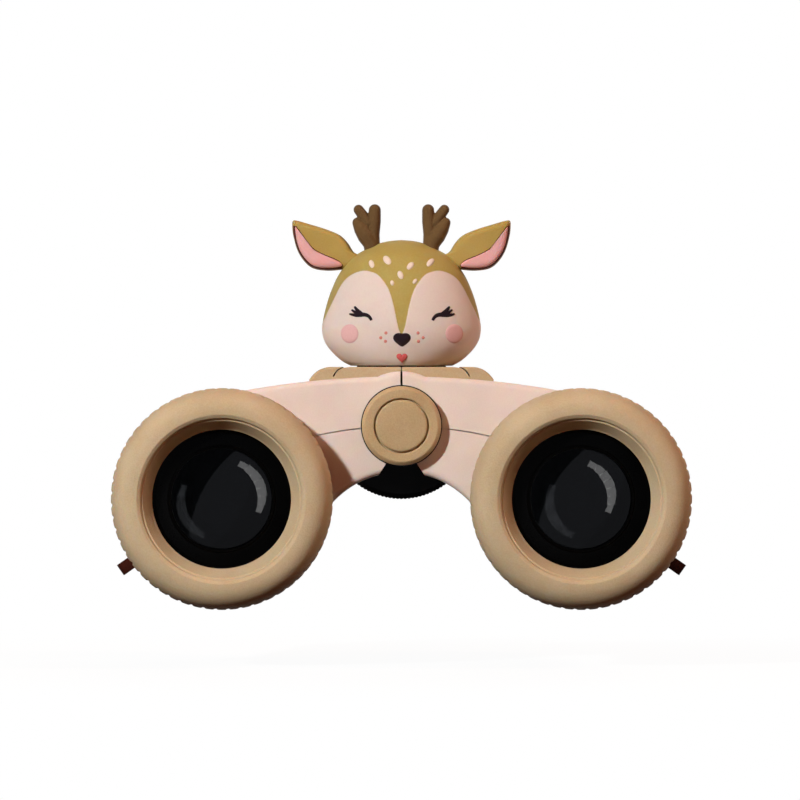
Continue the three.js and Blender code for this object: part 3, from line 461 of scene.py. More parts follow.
for side in SIDES:
    front, back = span(f"{side}_bumper_ring", 1)
    seat = span(f"{side}_objective_cell", 1)[0]
    rim = radius_of(f"{side}_bumper_ring")
    bend = np.linspace(0, math.pi / 2, 22)
    wide = [RING_MOUTH + (rim - RING_MOUTH) * math.cos(a) ** NOSE_POWER for a in bend]
    deep = [front + NOSE_LENGTH * (1 - math.sin(a) ** NOSE_POWER) for a in bend]
    nose = list(zip(wide, deep))
    inner = profile([
        (RING_MOUTH, front, 0), (16.95, front, 0.35), (16.3, front + 0.5, 0.25),
        (LIP_STEP, front + 1.3, 0.1), (HOOD_FRONT, front + 1.35, 0.15), (HOOD_BACK, seat - 1.6, 0.3),
        (HOOD_END, seat - 1.2, 0.25), (HOOD_END, seat - 0.35, 0.15), (16.0, seat + 0.05, 0.2),
        (RING_BORE, seat + 0.1, 0.3), (RING_BORE, back - 0.02, 0.3), (rim - 1.0, back - 0.02, 0.8),
        (rim, back - 3.0, 0),
    ])
    section = nose + inner[1:] + nose[:1]
    smooth = []
    for (r0, y0), (r1, y1) in zip(section, section[1:]):
        steps = max(1, int(math.hypot(r1 - r0, y1 - y0) / ROW_MM))
        smooth += [(r0 + (r1 - r0) * i / steps, y0 + (y1 - y0) * i / steps) for i in range(steps)]
    mesh = spun(f"{side} bumper", smooth, BARREL[side], GROOVES * 12, True, groove_dent(front, back))
    add_piece(f"{side}_bumper", mesh, RING_TAN, f"{side}_half", [f"{side}_bumper_ring"], 50)
    print(f"{side}_bumper", len(mesh.polygons), "faces, rim radius", round(rim, 2))

# %% [markdown]
# Behind each ring sits a black cell that holds the front lens: a shallow cone with a lip round the glass.
# The lens is clear glass, curved on both faces. Its front mirrors an arc of small lamps as one curved glint,
# and its back returns a second, fainter one, so both faces are spun with many rows.

# %% objective cells and lenses
CLEARANCE = 0.05
FLAT_RADIUS, CONE_FRONT, CONE_BACK, LIP_TOP, LIP_RADIUS = 14.0, 13.3, 10.9, 10.5, 10.2
LENS_ROWS = 26
DOME_RISE, BACK_INSET, BACK_RISE = 1.0, 0.8, 0.3
for side in SIDES:
    half = f"{side}_half"
    front, back = span(f"{side}_objective_cell", 1)
    outer = radius_of(f"{side}_objective_cell") - CLEARANCE
    bore = radius_of(f"{side}_objective_lens") + 2 * CLEARANCE
    cell = profile([
        (outer, back, 0), (outer, front, 0.3), (FLAT_RADIUS, front, 0.3), (CONE_FRONT, front + 0.5, 0.3),
        (CONE_BACK, front + 1.0, 0.25), (LIP_TOP, front + 0.55, 0.2), (LIP_RADIUS, front + 0.75, 0.15),
        (LIP_RADIUS, front + 1.75, 0.15), (bore, front + 1.8, 0.1), (bore, back, 0.1), (outer, back, 0),
    ])
    mesh = spun(f"{side} cell", cell, BARREL[side], 128)
    add_piece(f"{side}_front_cell", mesh, CELL_BLACK, half, [f"{side}_objective_cell"])
    apex, rear = span(f"{side}_objective_lens", 1)
    edge = radius_of(f"{side}_objective_lens") - CLEARANCE
    dome = [(edge * t, apex + DOME_RISE * t * t) for t in np.linspace(0, 1, LENS_ROWS)]
    back_face = [(edge * t, rear - BACK_INSET - BACK_RISE * t * t) for t in np.linspace(1, 0, LENS_ROWS)]
    mesh = spun(f"{side} front lens", dome + back_face, BARREL[side], 128, False)
    lens = add_piece(f"{side}_front_lens", mesh, CLEAR, half, [f"{side}_objective_lens"], 40)
    print(lens.name, "from", round(apex, 2), "to", round(rear, 2))

# %% [markdown]
# The hinge ends in a tan cap at the front: a turned knob with a separate disc set into its face.
# The thin dark groove round the disc is a real gap between the two pieces, so no line is painted.
# A thin black ring behind the cap is painted shade: it shows as the dark edge where the gap between the cap
# and the body lies in shadow.

# %% hinge cap
CAP_DEPTH, DISC_GAP, DISC_RISE = 3.2, 0.3, 0.3
SHADOW_RING_BORE, SHADOW_RING_LIP, SHADOW_RING_FRONT, SHADOW_RING_BACK = 6.0, 0.22, 0.02, 0.24
front = span("front_cap", 1)[0]
back = front + CAP_DEPTH
rim, pocket = radius_of("front_cap"), radius_of("front_cap_disc")
disc_front, disc_back = span("front_cap_disc", 1)
cap = profile([
    (0.0, disc_back + 0.05, 0), (pocket + DISC_GAP, disc_back + 0.05, 0.15),
    (pocket + DISC_GAP, front + 0.1, 0.15), (pocket + 0.5, front, 0.15), (rim - 0.7, front, 0.5),
    (rim, front + 0.8, 0.5), (rim, back, 0.25), (0.0, back, 0),
])
mesh = spun("hinge cap", cap, HINGE, 128, False)
add_piece("hinge_cap", mesh, KNOB_TAN, "spine", ["front_cap"])
disc = [(pocket * t, disc_front + DISC_RISE * t * t) for t in np.linspace(0, 0.94, 14)]
disc += [(pocket * 0.985, disc_front + 0.42), (pocket, disc_front + 0.62)]
disc += [(pocket, disc_back), (0.0, disc_back)]
mesh = spun("hinge cap disc", disc, HINGE, 128, False)
add_piece("hinge_cap_disc", mesh, KNOB_TAN, "spine", ["front_cap_disc"], 40)
# The thin black ring is painted shade for the shadowed gap round the cap.
shadow_ring = [(radius, back + SHADOW_RING_FRONT) for radius in (SHADOW_RING_BORE, rim + SHADOW_RING_LIP)]
shadow_ring += [(radius, back + SHADOW_RING_BACK) for radius in (rim + SHADOW_RING_LIP, SHADOW_RING_BORE)]
mesh = spun("cap washer", rounded(shadow_ring + shadow_ring[:1], 0.05), HINGE, 128)
add_piece("cap_shadow_ring", mesh, BLACK, "spine", ())
print("hinge cap radius", round(rim, 2), "disc radius", round(pocket, 2))

# %% [markdown]
# The focus wheel stands up behind the bridge, black and knurled so that a finger can roll it.
# Its teeth come from the same trick as the ring's grooves: the lathe pulls in its radius at each one.
# A sleeve in front of the wheel carries it on the shaft, and a shallow dish behind saves material.

# %% focus wheel
TEETH, TOOTH_DEPTH, TOOTH_SHARE = 120, 0.14, 0.2
KNURL_START, KNURL_FADE = 14.2, 0.5
WHEEL_WIDTH, WHEEL_BORE, SLEEVE_RADIUS = 9.0, 2.6, 4.2
DISH_DEPTH, DISH_OUTER, DISH_INNER = 1.6, 12.4, 6.0


def knurl_dent(radius, y, angles):
    """Depth of the wheel's knurling at a radius and an array of angles; y is not used."""
    rise = np.clip((radius - KNURL_START) / KNURL_FADE, 0, 1)
    return TOOTH_DEPTH * rise * notches(angles, TEETH, TOOTH_SHARE)


sleeve, back = span("focus_wheel", 1)
rim = radius_of("focus_wheel")
front, dish = back - WHEEL_WIDTH, back - DISH_DEPTH
wheel = profile([
    (WHEEL_BORE, sleeve, 0), (SLEEVE_RADIUS, sleeve, 0.2), (SLEEVE_RADIUS, front, 0.3),
    (rim - 1.0, front, 0.5), (rim, front + 1.0, 0.4), (rim, back - 1.0, 0.4), (rim - 1.0, back, 0.5),
    (DISH_OUTER, back, 0.4), (DISH_OUTER - 0.3, dish, 0.4), (DISH_INNER + 0.2, dish, 0.4),
    (DISH_INNER, back, 0.3), (WHEEL_BORE, back, 0.1), (WHEEL_BORE, sleeve, 0),
])
mesh = spun("focus wheel", wheel, HINGE, TEETH * 6, True, knurl_dent)
add_piece("focus_wheel_knurled", mesh, BLACK, "focus_wheel", ["focus_wheel"], 45)
print("focus_wheel_knurled", len(mesh.polygons), "faces")

# %% [markdown]
# The pink body is two mirrored halves, and each half is an upper and a lower shell that meet in a seam.
# No lathe can make such a form, because a bridge with rounded edges is grown together with a barrel.
# Booleans on finely cut solids do it, and every solid is either a prism between outlines or a turned drum.

# %% solids for the shells
FAR, DEEP = 90.0, 60.0


def outward(work):
    """Turn all faces of a closed bmesh outwards."""
    bmesh.ops.recalc_face_normals(work, faces=work.faces)
    if work.calc_volume(signed=True) < 0:
        bmesh.ops.reverse_faces(work, faces=work.faces)


def filled(mesh):
    """The mesh with its open ends filled."""
    with opened(mesh) as work:
        bmesh.ops.holes_fill(work, edges=work.edges, sides=0)
        outward(work)
    return mesh


def prism(name, outlines):
    """A solid through outlines given as (y, points), all with the same number of points."""
    rows = [[(x, y, z) for x, z in points] for y, points in outlines]
    mesh = grid_mesh(name, rows)
    width = len(rows[0])
    with opened(mesh) as work:
        work.verts.ensure_lookup_table()
        work.faces.new([work.verts[i] for i in range(width)])
        work.faces.new([work.verts[len(work.verts) - width + i] for i in range(width)])
        outward(work)
    return mesh


def block(low, high):
    """A box between two corners, as a solid."""
    corners = [(low[0], low[2]), (high[0], low[2]), (high[0], high[2]), (low[0], high[2])]
    return prism("block", [(low[1], corners), (high[1], corners)])


def drum(section, centre, sides=96):
    """A lathe solid from an open section, with a flat face at each end."""
    mesh = spun("drum", section, centre, sides, False)
    with opened(mesh) as work:
        bmesh.ops.remove_doubles(work, verts=work.verts, dist=2e-6)
    return filled(mesh)


def baked(made):
    """The mesh of an object with its modifiers applied."""
    scene_now = bpy.context.evaluated_depsgraph_get()
    return bpy.data.meshes.new_from_object(made.evaluated_get(scene_now))


def carve(mesh, *tools):
    """The mesh after each (operation, tool mesh) boolean in turn."""
    body = linked("body", mesh)
    for operation, tool_mesh in tools:
        tool = linked("tool", tool_mesh)
        step = body.modifiers.new("step", "BOOLEAN")
        step.operation, step.object, step.solver = operation, tool, "EXACT"
        result = baked(body)
        body.modifiers.clear()
        body.data = result
        bpy.data.objects.remove(tool)
    result = body.data
    bpy.data.objects.remove(body)
    return result


def sided(mesh, side):
    """A mesh drawn on the right, mirrored over x = 0 where it is meant for the left."""
    if side == "left":
        mesh.transform(Matrix.Scale(-1.0, 4, Vector((1.0, 0.0, 0.0))))
        mesh.flip_normals()
    return mesh


print("cutters reach", FAR, "mm up, down and sideways and", DEEP, "mm to front and back")

# %% [markdown]
# Seen from the front, the bridge is a long flat arc on top, a round boss over the hinge and an arch below.
# Its front and back edges are rounded by drawing the same outline a little smaller at each end.
# The barrel's section carries its own rounded corners and tapers behind the wing towards the eyepiece.

# %% bridge and barrel
WING_FRONT, WING_BACK, WING_EDGE = span("left_upper_shell", 1)[0] + 8.3, 10.0, 1.2
HINGE_Z = HINGE[1]
BARREL_X, BARREL_Z = BARREL["right"]
BOSS, TOP_RADIUS, CROWN = 11.0, 180.0, 9.95
ARCH_RADIUS, ARCH_Z = 18.8, HINGE_Z - 28.2
SPIGOT_RADIUS, BARREL_RADIUS, TAIL_RADIUS, TAIL_MOUTH = 19.0, 21.0, 17.2, 13.0
SPIGOT_FRONT, TAPER_START, TAPER_LENGTH, TAIL_END = -41.0, -4.0, 30.8, 28.0


def arc(x, z, radius, start, end, steps):
    """Points of an arc in the XZ plane, angles in radians from +X."""
    return [(x + radius * math.cos(a), z + radius * math.sin(a)) for a in np.linspace(start, end, steps)]


def bridge_outline(inset):
    """Outline of the whole bridge, drawn smaller by inset."""
    top, boss = TOP_RADIUS - inset, BOSS - inset
    top_z = HINGE_Z + CROWN - TOP_RADIUS
    rise = HINGE_Z - top_z
    height = (top ** 2 - boss ** 2 + rise ** 2) / (2 * rise)
    meet = math.sqrt(top ** 2 - height ** 2)
    top_meet, boss_meet = math.atan2(height, meet), math.atan2(height - rise, meet)
    top_end = math.acos((BARREL_X - inset) / top)
    right = arc(0, HINGE_Z, boss, math.pi / 2, boss_meet, 24)
    right += arc(0, top_z, top, top_meet, top_end, 40)[1:]
    right.append((BARREL_X - inset, BARREL_Z))
    right += arc(0, ARCH_Z, ARCH_RADIUS + inset, math.pi / 9, math.pi / 2, 48)
    return right + [(-x, z) for x, z in right[-2:0:-1]]


def bridge_rows(inset, front, back, edge):
    """Outlines of the bridge from front to back with rounded edges."""
    turns = np.linspace(0, math.pi / 2, 6) if edge else [math.pi / 2]
    ends = [(edge * (1 - math.cos(t)), inset + edge * (1 - math.sin(t))) for t in turns]
    rows = [(front + depth, bridge_outline(smaller)) for depth, smaller in ends]
    return rows + [(back - depth, bridge_outline(smaller)) for depth, smaller in reversed(ends)]


def barrel_section(inset):
    """Outside of a barrel, drawn smaller by inset: spigot under the bumper, barrel, taper, tail."""
    shares = np.linspace(0, 1, 16)
    radii = [TAIL_RADIUS + (BARREL_RADIUS - TAIL_RADIUS) * math.cos(t * math.pi / 2) for t in shares]
    taper = [(radius, TAPER_START + TAPER_LENGTH * t) for radius, t in zip(radii, shares)]
    nose = [(SPIGOT_RADIUS, SPIGOT_FRONT), (SPIGOT_RADIUS, WING_FRONT)]
    nose += [(BARREL_RADIUS, WING_FRONT), (BARREL_RADIUS, TAPER_START)]
    nose = rounded(nose, [0, 0.1, WING_EDGE, 0], 5)
    tail = rounded([taper[-1], (TAIL_RADIUS, TAIL_END), (TAIL_MOUTH, TAIL_END)], [0, 1.0, 0], 4)
    points = nose[:-1] + taper[:-1] + tail[:-1]
    return [(radius - inset, min(y + inset, TAIL_END - inset)) for radius, y in points]


print("wing from", round(WING_FRONT, 2), "to", WING_BACK, "with", len(bridge_outline(0.0)), "points a row")

# %% [markdown]
# A half is cut in the order a mould maker would think: outside, hollow, slit and notch at the hinge, holes.
# The notch is a V under the hinge cap, and it gives the two halves room to fold downwards.
# The other half is simply cut away along the slit, so both halves come from the same drawing.

# %% cutting one half
SLIT, PLATE = 0.2, 2.0
KNUCKLE_BORE, KNUCKLE_FRONT, KNUCKLE_BACK = 7.6, -36.0, 12.0
NOTCH_TIP, NOTCH_BOTTOM, NOTCH_SLOPE = HINGE_Z - 2.95, HINGE_Z - 10.6, math.tan(math.radians(33.4))
BORE = [(17.0, -42.0), (17.0, -33.6), (15.0, -33.6), (15.0, -31.0), (18.6, -31.0)]
BORE += [(18.6, 7.6), (14.8, 8.7), (14.8, 26.0), (12.6, 26.0), (12.6, 29.0)]
NECK_OPENING = (-4.9, -22.1, HINGE_Z), (4.9, -8.7, DEEP)
LUG_SLOT, LUG_TURN = ((18.0, -28.4, -1.45), (26.0, -18.0, 1.45)), math.radians(35)
SCREW_RADIUS, SCREW_DEPTH, SCREW_Z = 2.4, 14.0, 20.0


def lug_slot():
    """The slot that a strap lug sits in, leaning outwards and down from the barrel."""
    slot = block(*LUG_SLOT)
    slot.transform(Matrix.Rotation(LUG_TURN, 4, "Y"))
    slot.transform(Matrix.Translation(Vector((BARREL_X, 0, BARREL_Z)) * MM))
    return slot


def screw_hole(side, number):
    """An upright hole for one of the screws that hold a half together."""
    place = middle(f"{side}_shell_screw_{number}")
    hole = drum([(SCREW_RADIUS, 0), (SCREW_RADIUS, SCREW_DEPTH)], (0.0, 0.0), 32)
    hole.transform(Matrix.Rotation(math.radians(90), 4, "X"))
    hole.transform(Matrix.Translation(Vector((abs(place.x), place.y, SCREW_Z)) * MM))
    return hole


def half_solid(side, inset):
    """One half before the seam is cut, drawn on the right and smaller by inset."""
    centre = (BARREL_X, BARREL_Z)
    other = [(-FAR, FAR), (SLIT, FAR), (SLIT, NOTCH_TIP - SLIT / NOTCH_SLOPE)]
    other += [((NOTCH_TIP - NOTCH_BOTTOM) * NOTCH_SLOPE, NOTCH_BOTTOM), (SLIT, NOTCH_BOTTOM)]
    other += [(SLIT, -FAR), (-FAR, -FAR)]
    solid = prism("bridge", bridge_rows(inset, WING_FRONT + inset, WING_BACK - inset, WING_EDGE))
    return carve(
        solid,
        ("UNION", drum(barrel_section(inset), centre, 128)),
        ("DIFFERENCE", drum(BORE, centre, 64)),
        ("DIFFERENCE", prism("plates", bridge_rows(PLATE, WING_FRONT + PLATE, WING_BACK - PLATE, 0.0))),
        ("DIFFERENCE", prism("other half", [(-DEEP, other), (DEEP, other)])),
        ("DIFFERENCE", drum([(KNUCKLE_BORE, KNUCKLE_FRONT), (KNUCKLE_BORE, KNUCKLE_BACK)], HINGE, 96)),
        ("DIFFERENCE", block(*NECK_OPENING)),
        ("DIFFERENCE", lug_slot()),
        ("DIFFERENCE", screw_hole(side, 1)),
        ("DIFFERENCE", screw_hole(side, 2)),
    )


print("the notch opens", round(2 * (NOTCH_TIP - NOTCH_BOTTOM) * NOTCH_SLOPE, 2), "mm wide below the hinge")

# %% [markdown]
# The seam is one long arc across both halves. Cutting a half above and below it leaves two shells and a gap.
# As in a real moulding, a tongue behind the seam keeps light from shining through that gap.
# It is the same half drawn a little smaller, of which only a slice along the seam is kept.

# %% shells
SEAM_RADIUS, SEAM_REACH, SEAM_GAP, SHELL_EDGE = 80.0, 62.0, 0.22, 0.1
TONGUE_INSET, TONGUE_TOP, TONGUE_BOTTOM = 0.7, 0.03, 0.19


def seam_prism(drop, height):
    """All that lies between the seam and a height, to cut away."""
    across = np.linspace(-SEAM_REACH, SEAM_REACH, 125)
    seam = [(x, HINGE_Z - SEAM_RADIUS - drop + math.sqrt(SEAM_RADIUS ** 2 - x * x)) for x in across]
    outline = seam + [(SEAM_REACH, height), (-SEAM_REACH, height)]
    return prism("seam", [(-DEEP, outline), (DEEP, outline)])


def half_shells(side):
    """Upper and lower shell of one half, and the tongue that closes the seam between them."""
    whole = half_solid(side, 0.0)
    upper = carve(whole.copy(), ("DIFFERENCE", seam_prism(0.0, -FAR)))
    lower = carve(whole, ("DIFFERENCE", seam_prism(SEAM_GAP, FAR)))
    slice_above = ("DIFFERENCE", seam_prism(TONGUE_TOP, FAR))
    slice_below = ("DIFFERENCE", seam_prism(TONGUE_BOTTOM, -FAR))
    tongue = carve(half_solid(side, TONGUE_INSET), slice_above, slice_below)
    return {"upper": upper, "lower": lower, "tongue": tongue}


def soften(made, width_mm, angle=38.0):
    """Round the crisp edges of a piece by a small bevel."""
    edge = made.modifiers.new("soft edges", "BEVEL")
    edge.width, edge.segments = width_mm * MM, 2
    edge.limit_method, edge.angle_limit = "ANGLE", math.radians(angle)
    edge.harden_normals = True


for side in SIDES:
    for level, mesh in half_shells(side).items():
        nodes = [] if level == "tongue" else [f"{side}_{level}_shell"]
        body = f"{side}_half"
        shell = add_piece(f"{side}_{level}_body", sided(mesh, side), PINK, body, nodes, 30)
        if nodes:
            soften(shell, SHELL_EDGE)
        print(shell.name, len(mesh.polygons), "faces")

# %% [markdown]
# A rubber pad lies on top of each half, flat beside the hinge and rolling down at its outer end.
# A curved groove parts that end from the flat, and a shallow oval beyond it is where a thumb rests.
# A height for every point of a fine grid draws the top and its rounded border; the groove is cut afterwards.

# %% top pads
PAD_X, PAD_Y = span("right_top_pad", 0), span("right_top_pad", 1)
PAD_TOP = span("right_top_pad", 2)[1]
PAD_START, PAD_FLAT, PAD_SHOULDER, PAD_END_Z = 0.1, 14.2, 17.0, HINGE_Z + CROWN - 0.6
PAD_BORDER, PAD_SINK, PAD_THIN = 0.6, 0.1, 0.05
OVAL_X, OVAL_WIDE, OVAL_LONG, OVAL_DEPTH = 15.2, 2.2, 14.0, 0.25
OVAL_STEEP, INNER_STEEP = 3, 3
PAD_GROOVE = [(13.75, 46.95), (13.35, 47.75), (12.6, 48.45), (11.6, 48.85), (10.2, 49.05)]
PAD_GROOVE_HALF = 0.13
t = np.linspace(0, 1, 60)
shoulder_x = (1 - t) ** 2 * PAD_FLAT + 2 * t * (1 - t) * PAD_SHOULDER + t * t * PAD_X[1]
shoulder_z = (1 - t * t) * PAD_TOP + t * t * PAD_END_Z


def eased(count, power=1.6):
    """Steps from 0 to 1 that crowd together at both ends."""
    t = np.linspace(-1, 1, count)
    return 0.5 + 0.5 * np.sign(t) * (1 - (1 - np.abs(t)) ** power)


def pad_mesh():
    """The right pad, before the opening for the neck of the head."""
    xs = PAD_START + (PAD_X[1] - PAD_START) * eased(70)
    ys = PAD_Y[0] + (PAD_Y[1] - PAD_Y[0]) * eased(110)
    x, y = np.meshgrid(xs, ys)
    top = np.where(x < PAD_FLAT, PAD_TOP, np.interp(x, shoulder_x, shoulder_z))
    off = np.hypot((x - OVAL_X) / OVAL_WIDE, (y - sum(PAD_Y) / 2) / OVAL_LONG) - 1.0
    top = top - OVAL_DEPTH * np.clip(-off * OVAL_STEEP, 0, 1)
    border = np.minimum(np.minimum(INNER_STEEP * x, y - PAD_Y[0]), PAD_Y[1] - y)
    drop = np.clip(PAD_BORDER - border, 0, PAD_BORDER)
    top = np.minimum(top, PAD_TOP) - PAD_BORDER + np.sqrt(PAD_BORDER * PAD_BORDER - drop * drop)
    crown = HINGE_Z + CROWN - TOP_RADIUS + np.sqrt(TOP_RADIUS ** 2 - x * x)
    boss = HINGE_Z + np.sqrt(np.clip(BOSS ** 2 - x * x, 0, None))
    under = np.maximum(crown, boss) - PAD_SINK
    top = np.maximum(top, under + PAD_THIN)
    upper = np.stack([x, y, top], axis=2)
    lower = np.stack([x, y, under], axis=2)[:, ::-1]
    return filled(grid_mesh("pad", np.concatenate([upper, lower], axis=1)))


def groove_cutter():
    """A thin curved blade along the pad."""
    path = curve(PAD_GROOVE, 8)
    ahead = np.gradient(path, axis=0)
    across = np.stack([-ahead[:, 1], ahead[:, 0]], axis=1) / np.linalg.norm(ahead, axis=1)[:, None]
    edge = np.concatenate([path + across * PAD_GROOVE_HALF, (path - across * PAD_GROOVE_HALF)[::-1]])
    return prism("groove", [(-DEEP, edge.tolist()), (PAD_Y[1] - 1.0, edge.tolist())])


for side in SIDES:
    mesh = carve(pad_mesh(), ("DIFFERENCE", block(*NECK_OPENING)), ("DIFFERENCE", groove_cutter()))
    mesh = sided(mesh, side)
    add_piece(f"{side}_thumb_pad", mesh, PAD_TAN, f"{side}_half", [f"{side}_top_pad"], 40)
    print(f"{side}_thumb_pad", len(mesh.polygons), "faces")

# %% [markdown]
# Behind the barrels come the parts for the eye: a ring, a short tube with its lenses, and a soft eyecup.
# The left ring is fixed, the right one turns to set that eyepiece, and both have the same fine ribs.
# All of them are round, so the lathe makes them, and only the bodies that they ride on differ.

# %% eyepieces
RIBS, RIB_DEPTH, RIB_SHARE, RIBBED_RADIUS = 48, 0.35, 0.2, 16.4
TUBE_RADIUS, EYE_LENS_RADIUS, EYE_LENS_RISE = 12.65, 9.9, 0.9
RING_NODE = {"left": "left_eyepiece_ring", "right": "right_diopter_ring"}
RING_BODY = {"left": "left_half", "right": "right_diopter"}
TUBE_BODY = {"left": "left_half", "right": "right_eyepiece"}


def rib_dent(radius, y, angles):
    """Depth of the ribs on the eyepiece rings."""
    return RIB_DEPTH * notches(angles, RIBS, RIB_SHARE) * (1.0 if radius > RIBBED_RADIUS else 0.0)


for side in SIDES:
    node, body = RING_NODE[side], TUBE_BODY[side]
    front, back = span(node, 1)
    rim = radius_of(node)
    section = [(TUBE_RADIUS, front), (rim - 0.6, front), (rim, front + 0.6), (rim, (front + back) / 2)]
    section += [(rim, back - 0.6), (rim - 0.6, back), (TUBE_RADIUS, back), (TUBE_RADIUS, front)]
    mesh = spun(f"{side} ring", rounded(section, 0.3), BARREL[side], RIBS * 8, True, rib_dent)
    add_piece(f"{side}_ribbed_ring", mesh, PINK, RING_BODY[side], [node], 45)
    front, back = span(f"{side}_eyecup", 1)
    rim = radius_of(f"{side}_eyecup")
    cup = profile([
        (TUBE_RADIUS, front, 0), (rim, front, 0.5), (rim, back - 2.2, 1.2), (15.6, back - 0.3, 0.8),
        (14.6, back, 0.5), (13.4, back - 0.4, 0.6), (TUBE_RADIUS, back - 1.6, 0.6), (TUBE_RADIUS, front, 0),
    ])
    mesh = spun(f"{side} cup", cup, BARREL[side], 128)
    add_piece(f"{side}_soft_eyecup", mesh, RING_TAN, body, [f"{side}_eyecup"], 45)
    reach = back
    front, back = span(f"{side}_eye_lens", 1)
    lens = [(EYE_LENS_RADIUS * s, back - EYE_LENS_RISE * s * s) for s in np.linspace(0, 1, 20)]
    lens += [(EYE_LENS_RADIUS, front), (0.0, front)]
    mesh = spun(f"{side} eye lens", lens, BARREL[side], 96, False)
    piece = add_piece(f"{side}_rear_lens", mesh, LENS, body, [f"{side}_eye_lens"], 40)
    print(piece.name, "and its cup reach back to y =", round(reach, 2))

# %% [markdown]
# The fawn's head is one smooth egg shape, split across its middle into a front and a rear shell.
# A half section gives the width at each height, and every level is an ellipse a little less deep than wide.
# Below the cheeks the front stays fuller than that, which gives the round chin.

# %% head form
HEAD = Vector((0.0, span("head_rear_shell", 1)[0], span("head_front_shell", 2)[0]))
HEAD_HALF = radius_of("head_front_shell")
HEAD_DEEP = HEAD.y - span("head_front_shell", 1)[0]
HEAD_TALL = span("head_front_shell", 2)[1] - HEAD.z
HEAD_SECTION = [(0, 1), (0.19, 0.988), (0.37, 0.95), (0.62, 0.859), (0.78, 0.735), (0.875, 0.611)]
HEAD_SECTION += [(0.94, 0.49), (0.985, 0.37), (0.998, 0.28), (0.967, 0.195), (0.886, 0.118)]
HEAD_SECTION += [(0.757, 0.042), (0.64, 0)]
CHEEK_HEIGHT, CHIN_POWER = 0.28, 0.6
SECTION = curve(HEAD_SECTION, 12)


def chin(share, height):
    """Share of the head's depth in front: below the cheeks it stays fuller than the share of its width."""
    return np.where(np.asarray(height) < CHEEK_HEIGHT, np.asarray(share) ** CHIN_POWER, share)


def head_front(x, z):
    """Depth of the head's front surface at head coordinates x and z."""
    order = np.argsort(SECTION[:, 1])
    height = np.asarray(z) / HEAD_TALL
    share = np.interp(height, SECTION[order, 1], SECTION[order, 0])
    inside = np.clip(1 - (np.asarray(x) / np.maximum(share * HEAD_HALF, 1e-3)) ** 2, 0, 1)
    return -HEAD_DEEP * chin(share, height) * np.sqrt(inside)


print("head half width, depth and height:", [round(v, 2) for v in (HEAD_HALF, HEAD_DEEP, HEAD_TALL)])

# %% [markdown]
# The cream face has two round lobes, one over each eye, and the coat runs down between them in a point.
# A flat drawing is easiest to compare with the photograph, so its points are given as places in the picture.
# A signed distance to that outline then tells any point of the head how far inside the face it lies.

# %% outline of the face
PIXEL, PICTURE_X, PICTURE_Y = 0.2027, 401.5, 400.0
BELOW_CHIN = [(-30, -5), (30, -5)]
LOBE = [(400.6, 334), (398.6, 328.5), (397.1, 322.3), (394, 307), (390.2, 293.3), (385.6, 284), (378, 274.9)]
LOBE += [(370.3, 271.4), (362.7, 270.6), (353.5, 273.4), (345.8, 278.7), (339.7, 287.1), (333.6, 299.4)]
LOBE += [(327.5, 311.6), (324.4, 318.5), (316, 330)]


def on_photo(across, down):
    """A point of the face in head millimetres from where it stands in the picture."""
    return (across - PICTURE_X) * PIXEL, CAMERA_PLACE[2] + (PICTURE_Y - down) * PIXEL - HEAD.z


def distance_inside(points, outline):
    """Signed distance of points from a closed outline, positive inside."""
    starts, ends = outline, np.roll(outline, -1, axis=0)
    along = ends - starts
    best = np.full(len(points), 1e9)
    inside = np.zeros(len(points), bool)
    for a, b, d in zip(starts, ends, along):
        t = np.clip(((points - a) @ d) / max(d @ d, 1e-12), 0, 1)
        best = np.minimum(best, np.linalg.norm(points - a - t[:, None] * d, axis=1))
        crosses = (a[1] > points[:, 1]) != (b[1] > points[:, 1])
        rise = d[1] if abs(d[1]) > 1e-12 else 1e-12
        inside ^= crosses & (points[:, 0] < a[0] + d[0] * (points[:, 1] - a[1]) / rise)
    return np.where(inside, best, -best)


left_lobe = np.array([on_photo(*p) for p in curve(LOBE, 8)])
FACE = np.concatenate([left_lobe, BELOW_CHIN, left_lobe[::-1] * (-1, 1)])
print("outline of the face:", len(FACE), "points")

# %% [markdown]
# On the toy, the cream face looks a shade prouder than the brown coat around it.
# The front shell is lifted inside the outline, and each point stores its distance from it as an attribute.
# The material reads that attribute, so the painted border and the raised border are always the same line.

# %% head shells
FACE_LIFT, FACE_STEP, LIFT_DEPTH = 0.15, 0.35, 3.0
HEAD_GAP, HEAD_WALL, NO_FACE = 0.06, 1.2, -9.0


def head_mesh(front):
    """One shell of the head, with the face raised and its distance stored on the front one."""
    turn = np.linspace(math.pi, 2 * math.pi, 241) if front else np.linspace(0, math.pi, 121)
    rows = []
    for share, height in SECTION[:: 1 if front else 2]:
        x = HEAD_HALF * share * np.cos(turn)
        y = HEAD_DEEP * (chin(share, height) if front else share) * np.sin(turn)
        rows.append(np.stack([x, y, np.full(len(turn), height * HEAD_TALL)], axis=1))
    rows = np.array(rows)
    depth = np.full(rows.shape[:2], NO_FACE)
    if front:
        depth = distance_inside(rows.reshape(-1, 3)[:, [0, 2]], FACE).reshape(rows.shape[:2])
        lift = np.clip(depth / FACE_STEP + 0.5, 0, 1)
        lift = FACE_LIFT * lift * lift * (3 - 2 * lift) * np.clip(-rows[:, :, 1] / LIFT_DEPTH, 0, 1)
        rows = rows + lift[:, :, None] * rows * np.array([1, 1, 0]) / np.array([HEAD_HALF, HEAD_DEEP, 1])
    rows[:, :, 1] += -HEAD_GAP if front else HEAD_GAP
    mesh = grid_mesh("head", rows + np.array(HEAD), close_columns=False)
    mark = mesh.attributes.new("face_depth", "FLOAT", "POINT")
    mark.data.foreach_set("value", depth.ravel())
    return mesh


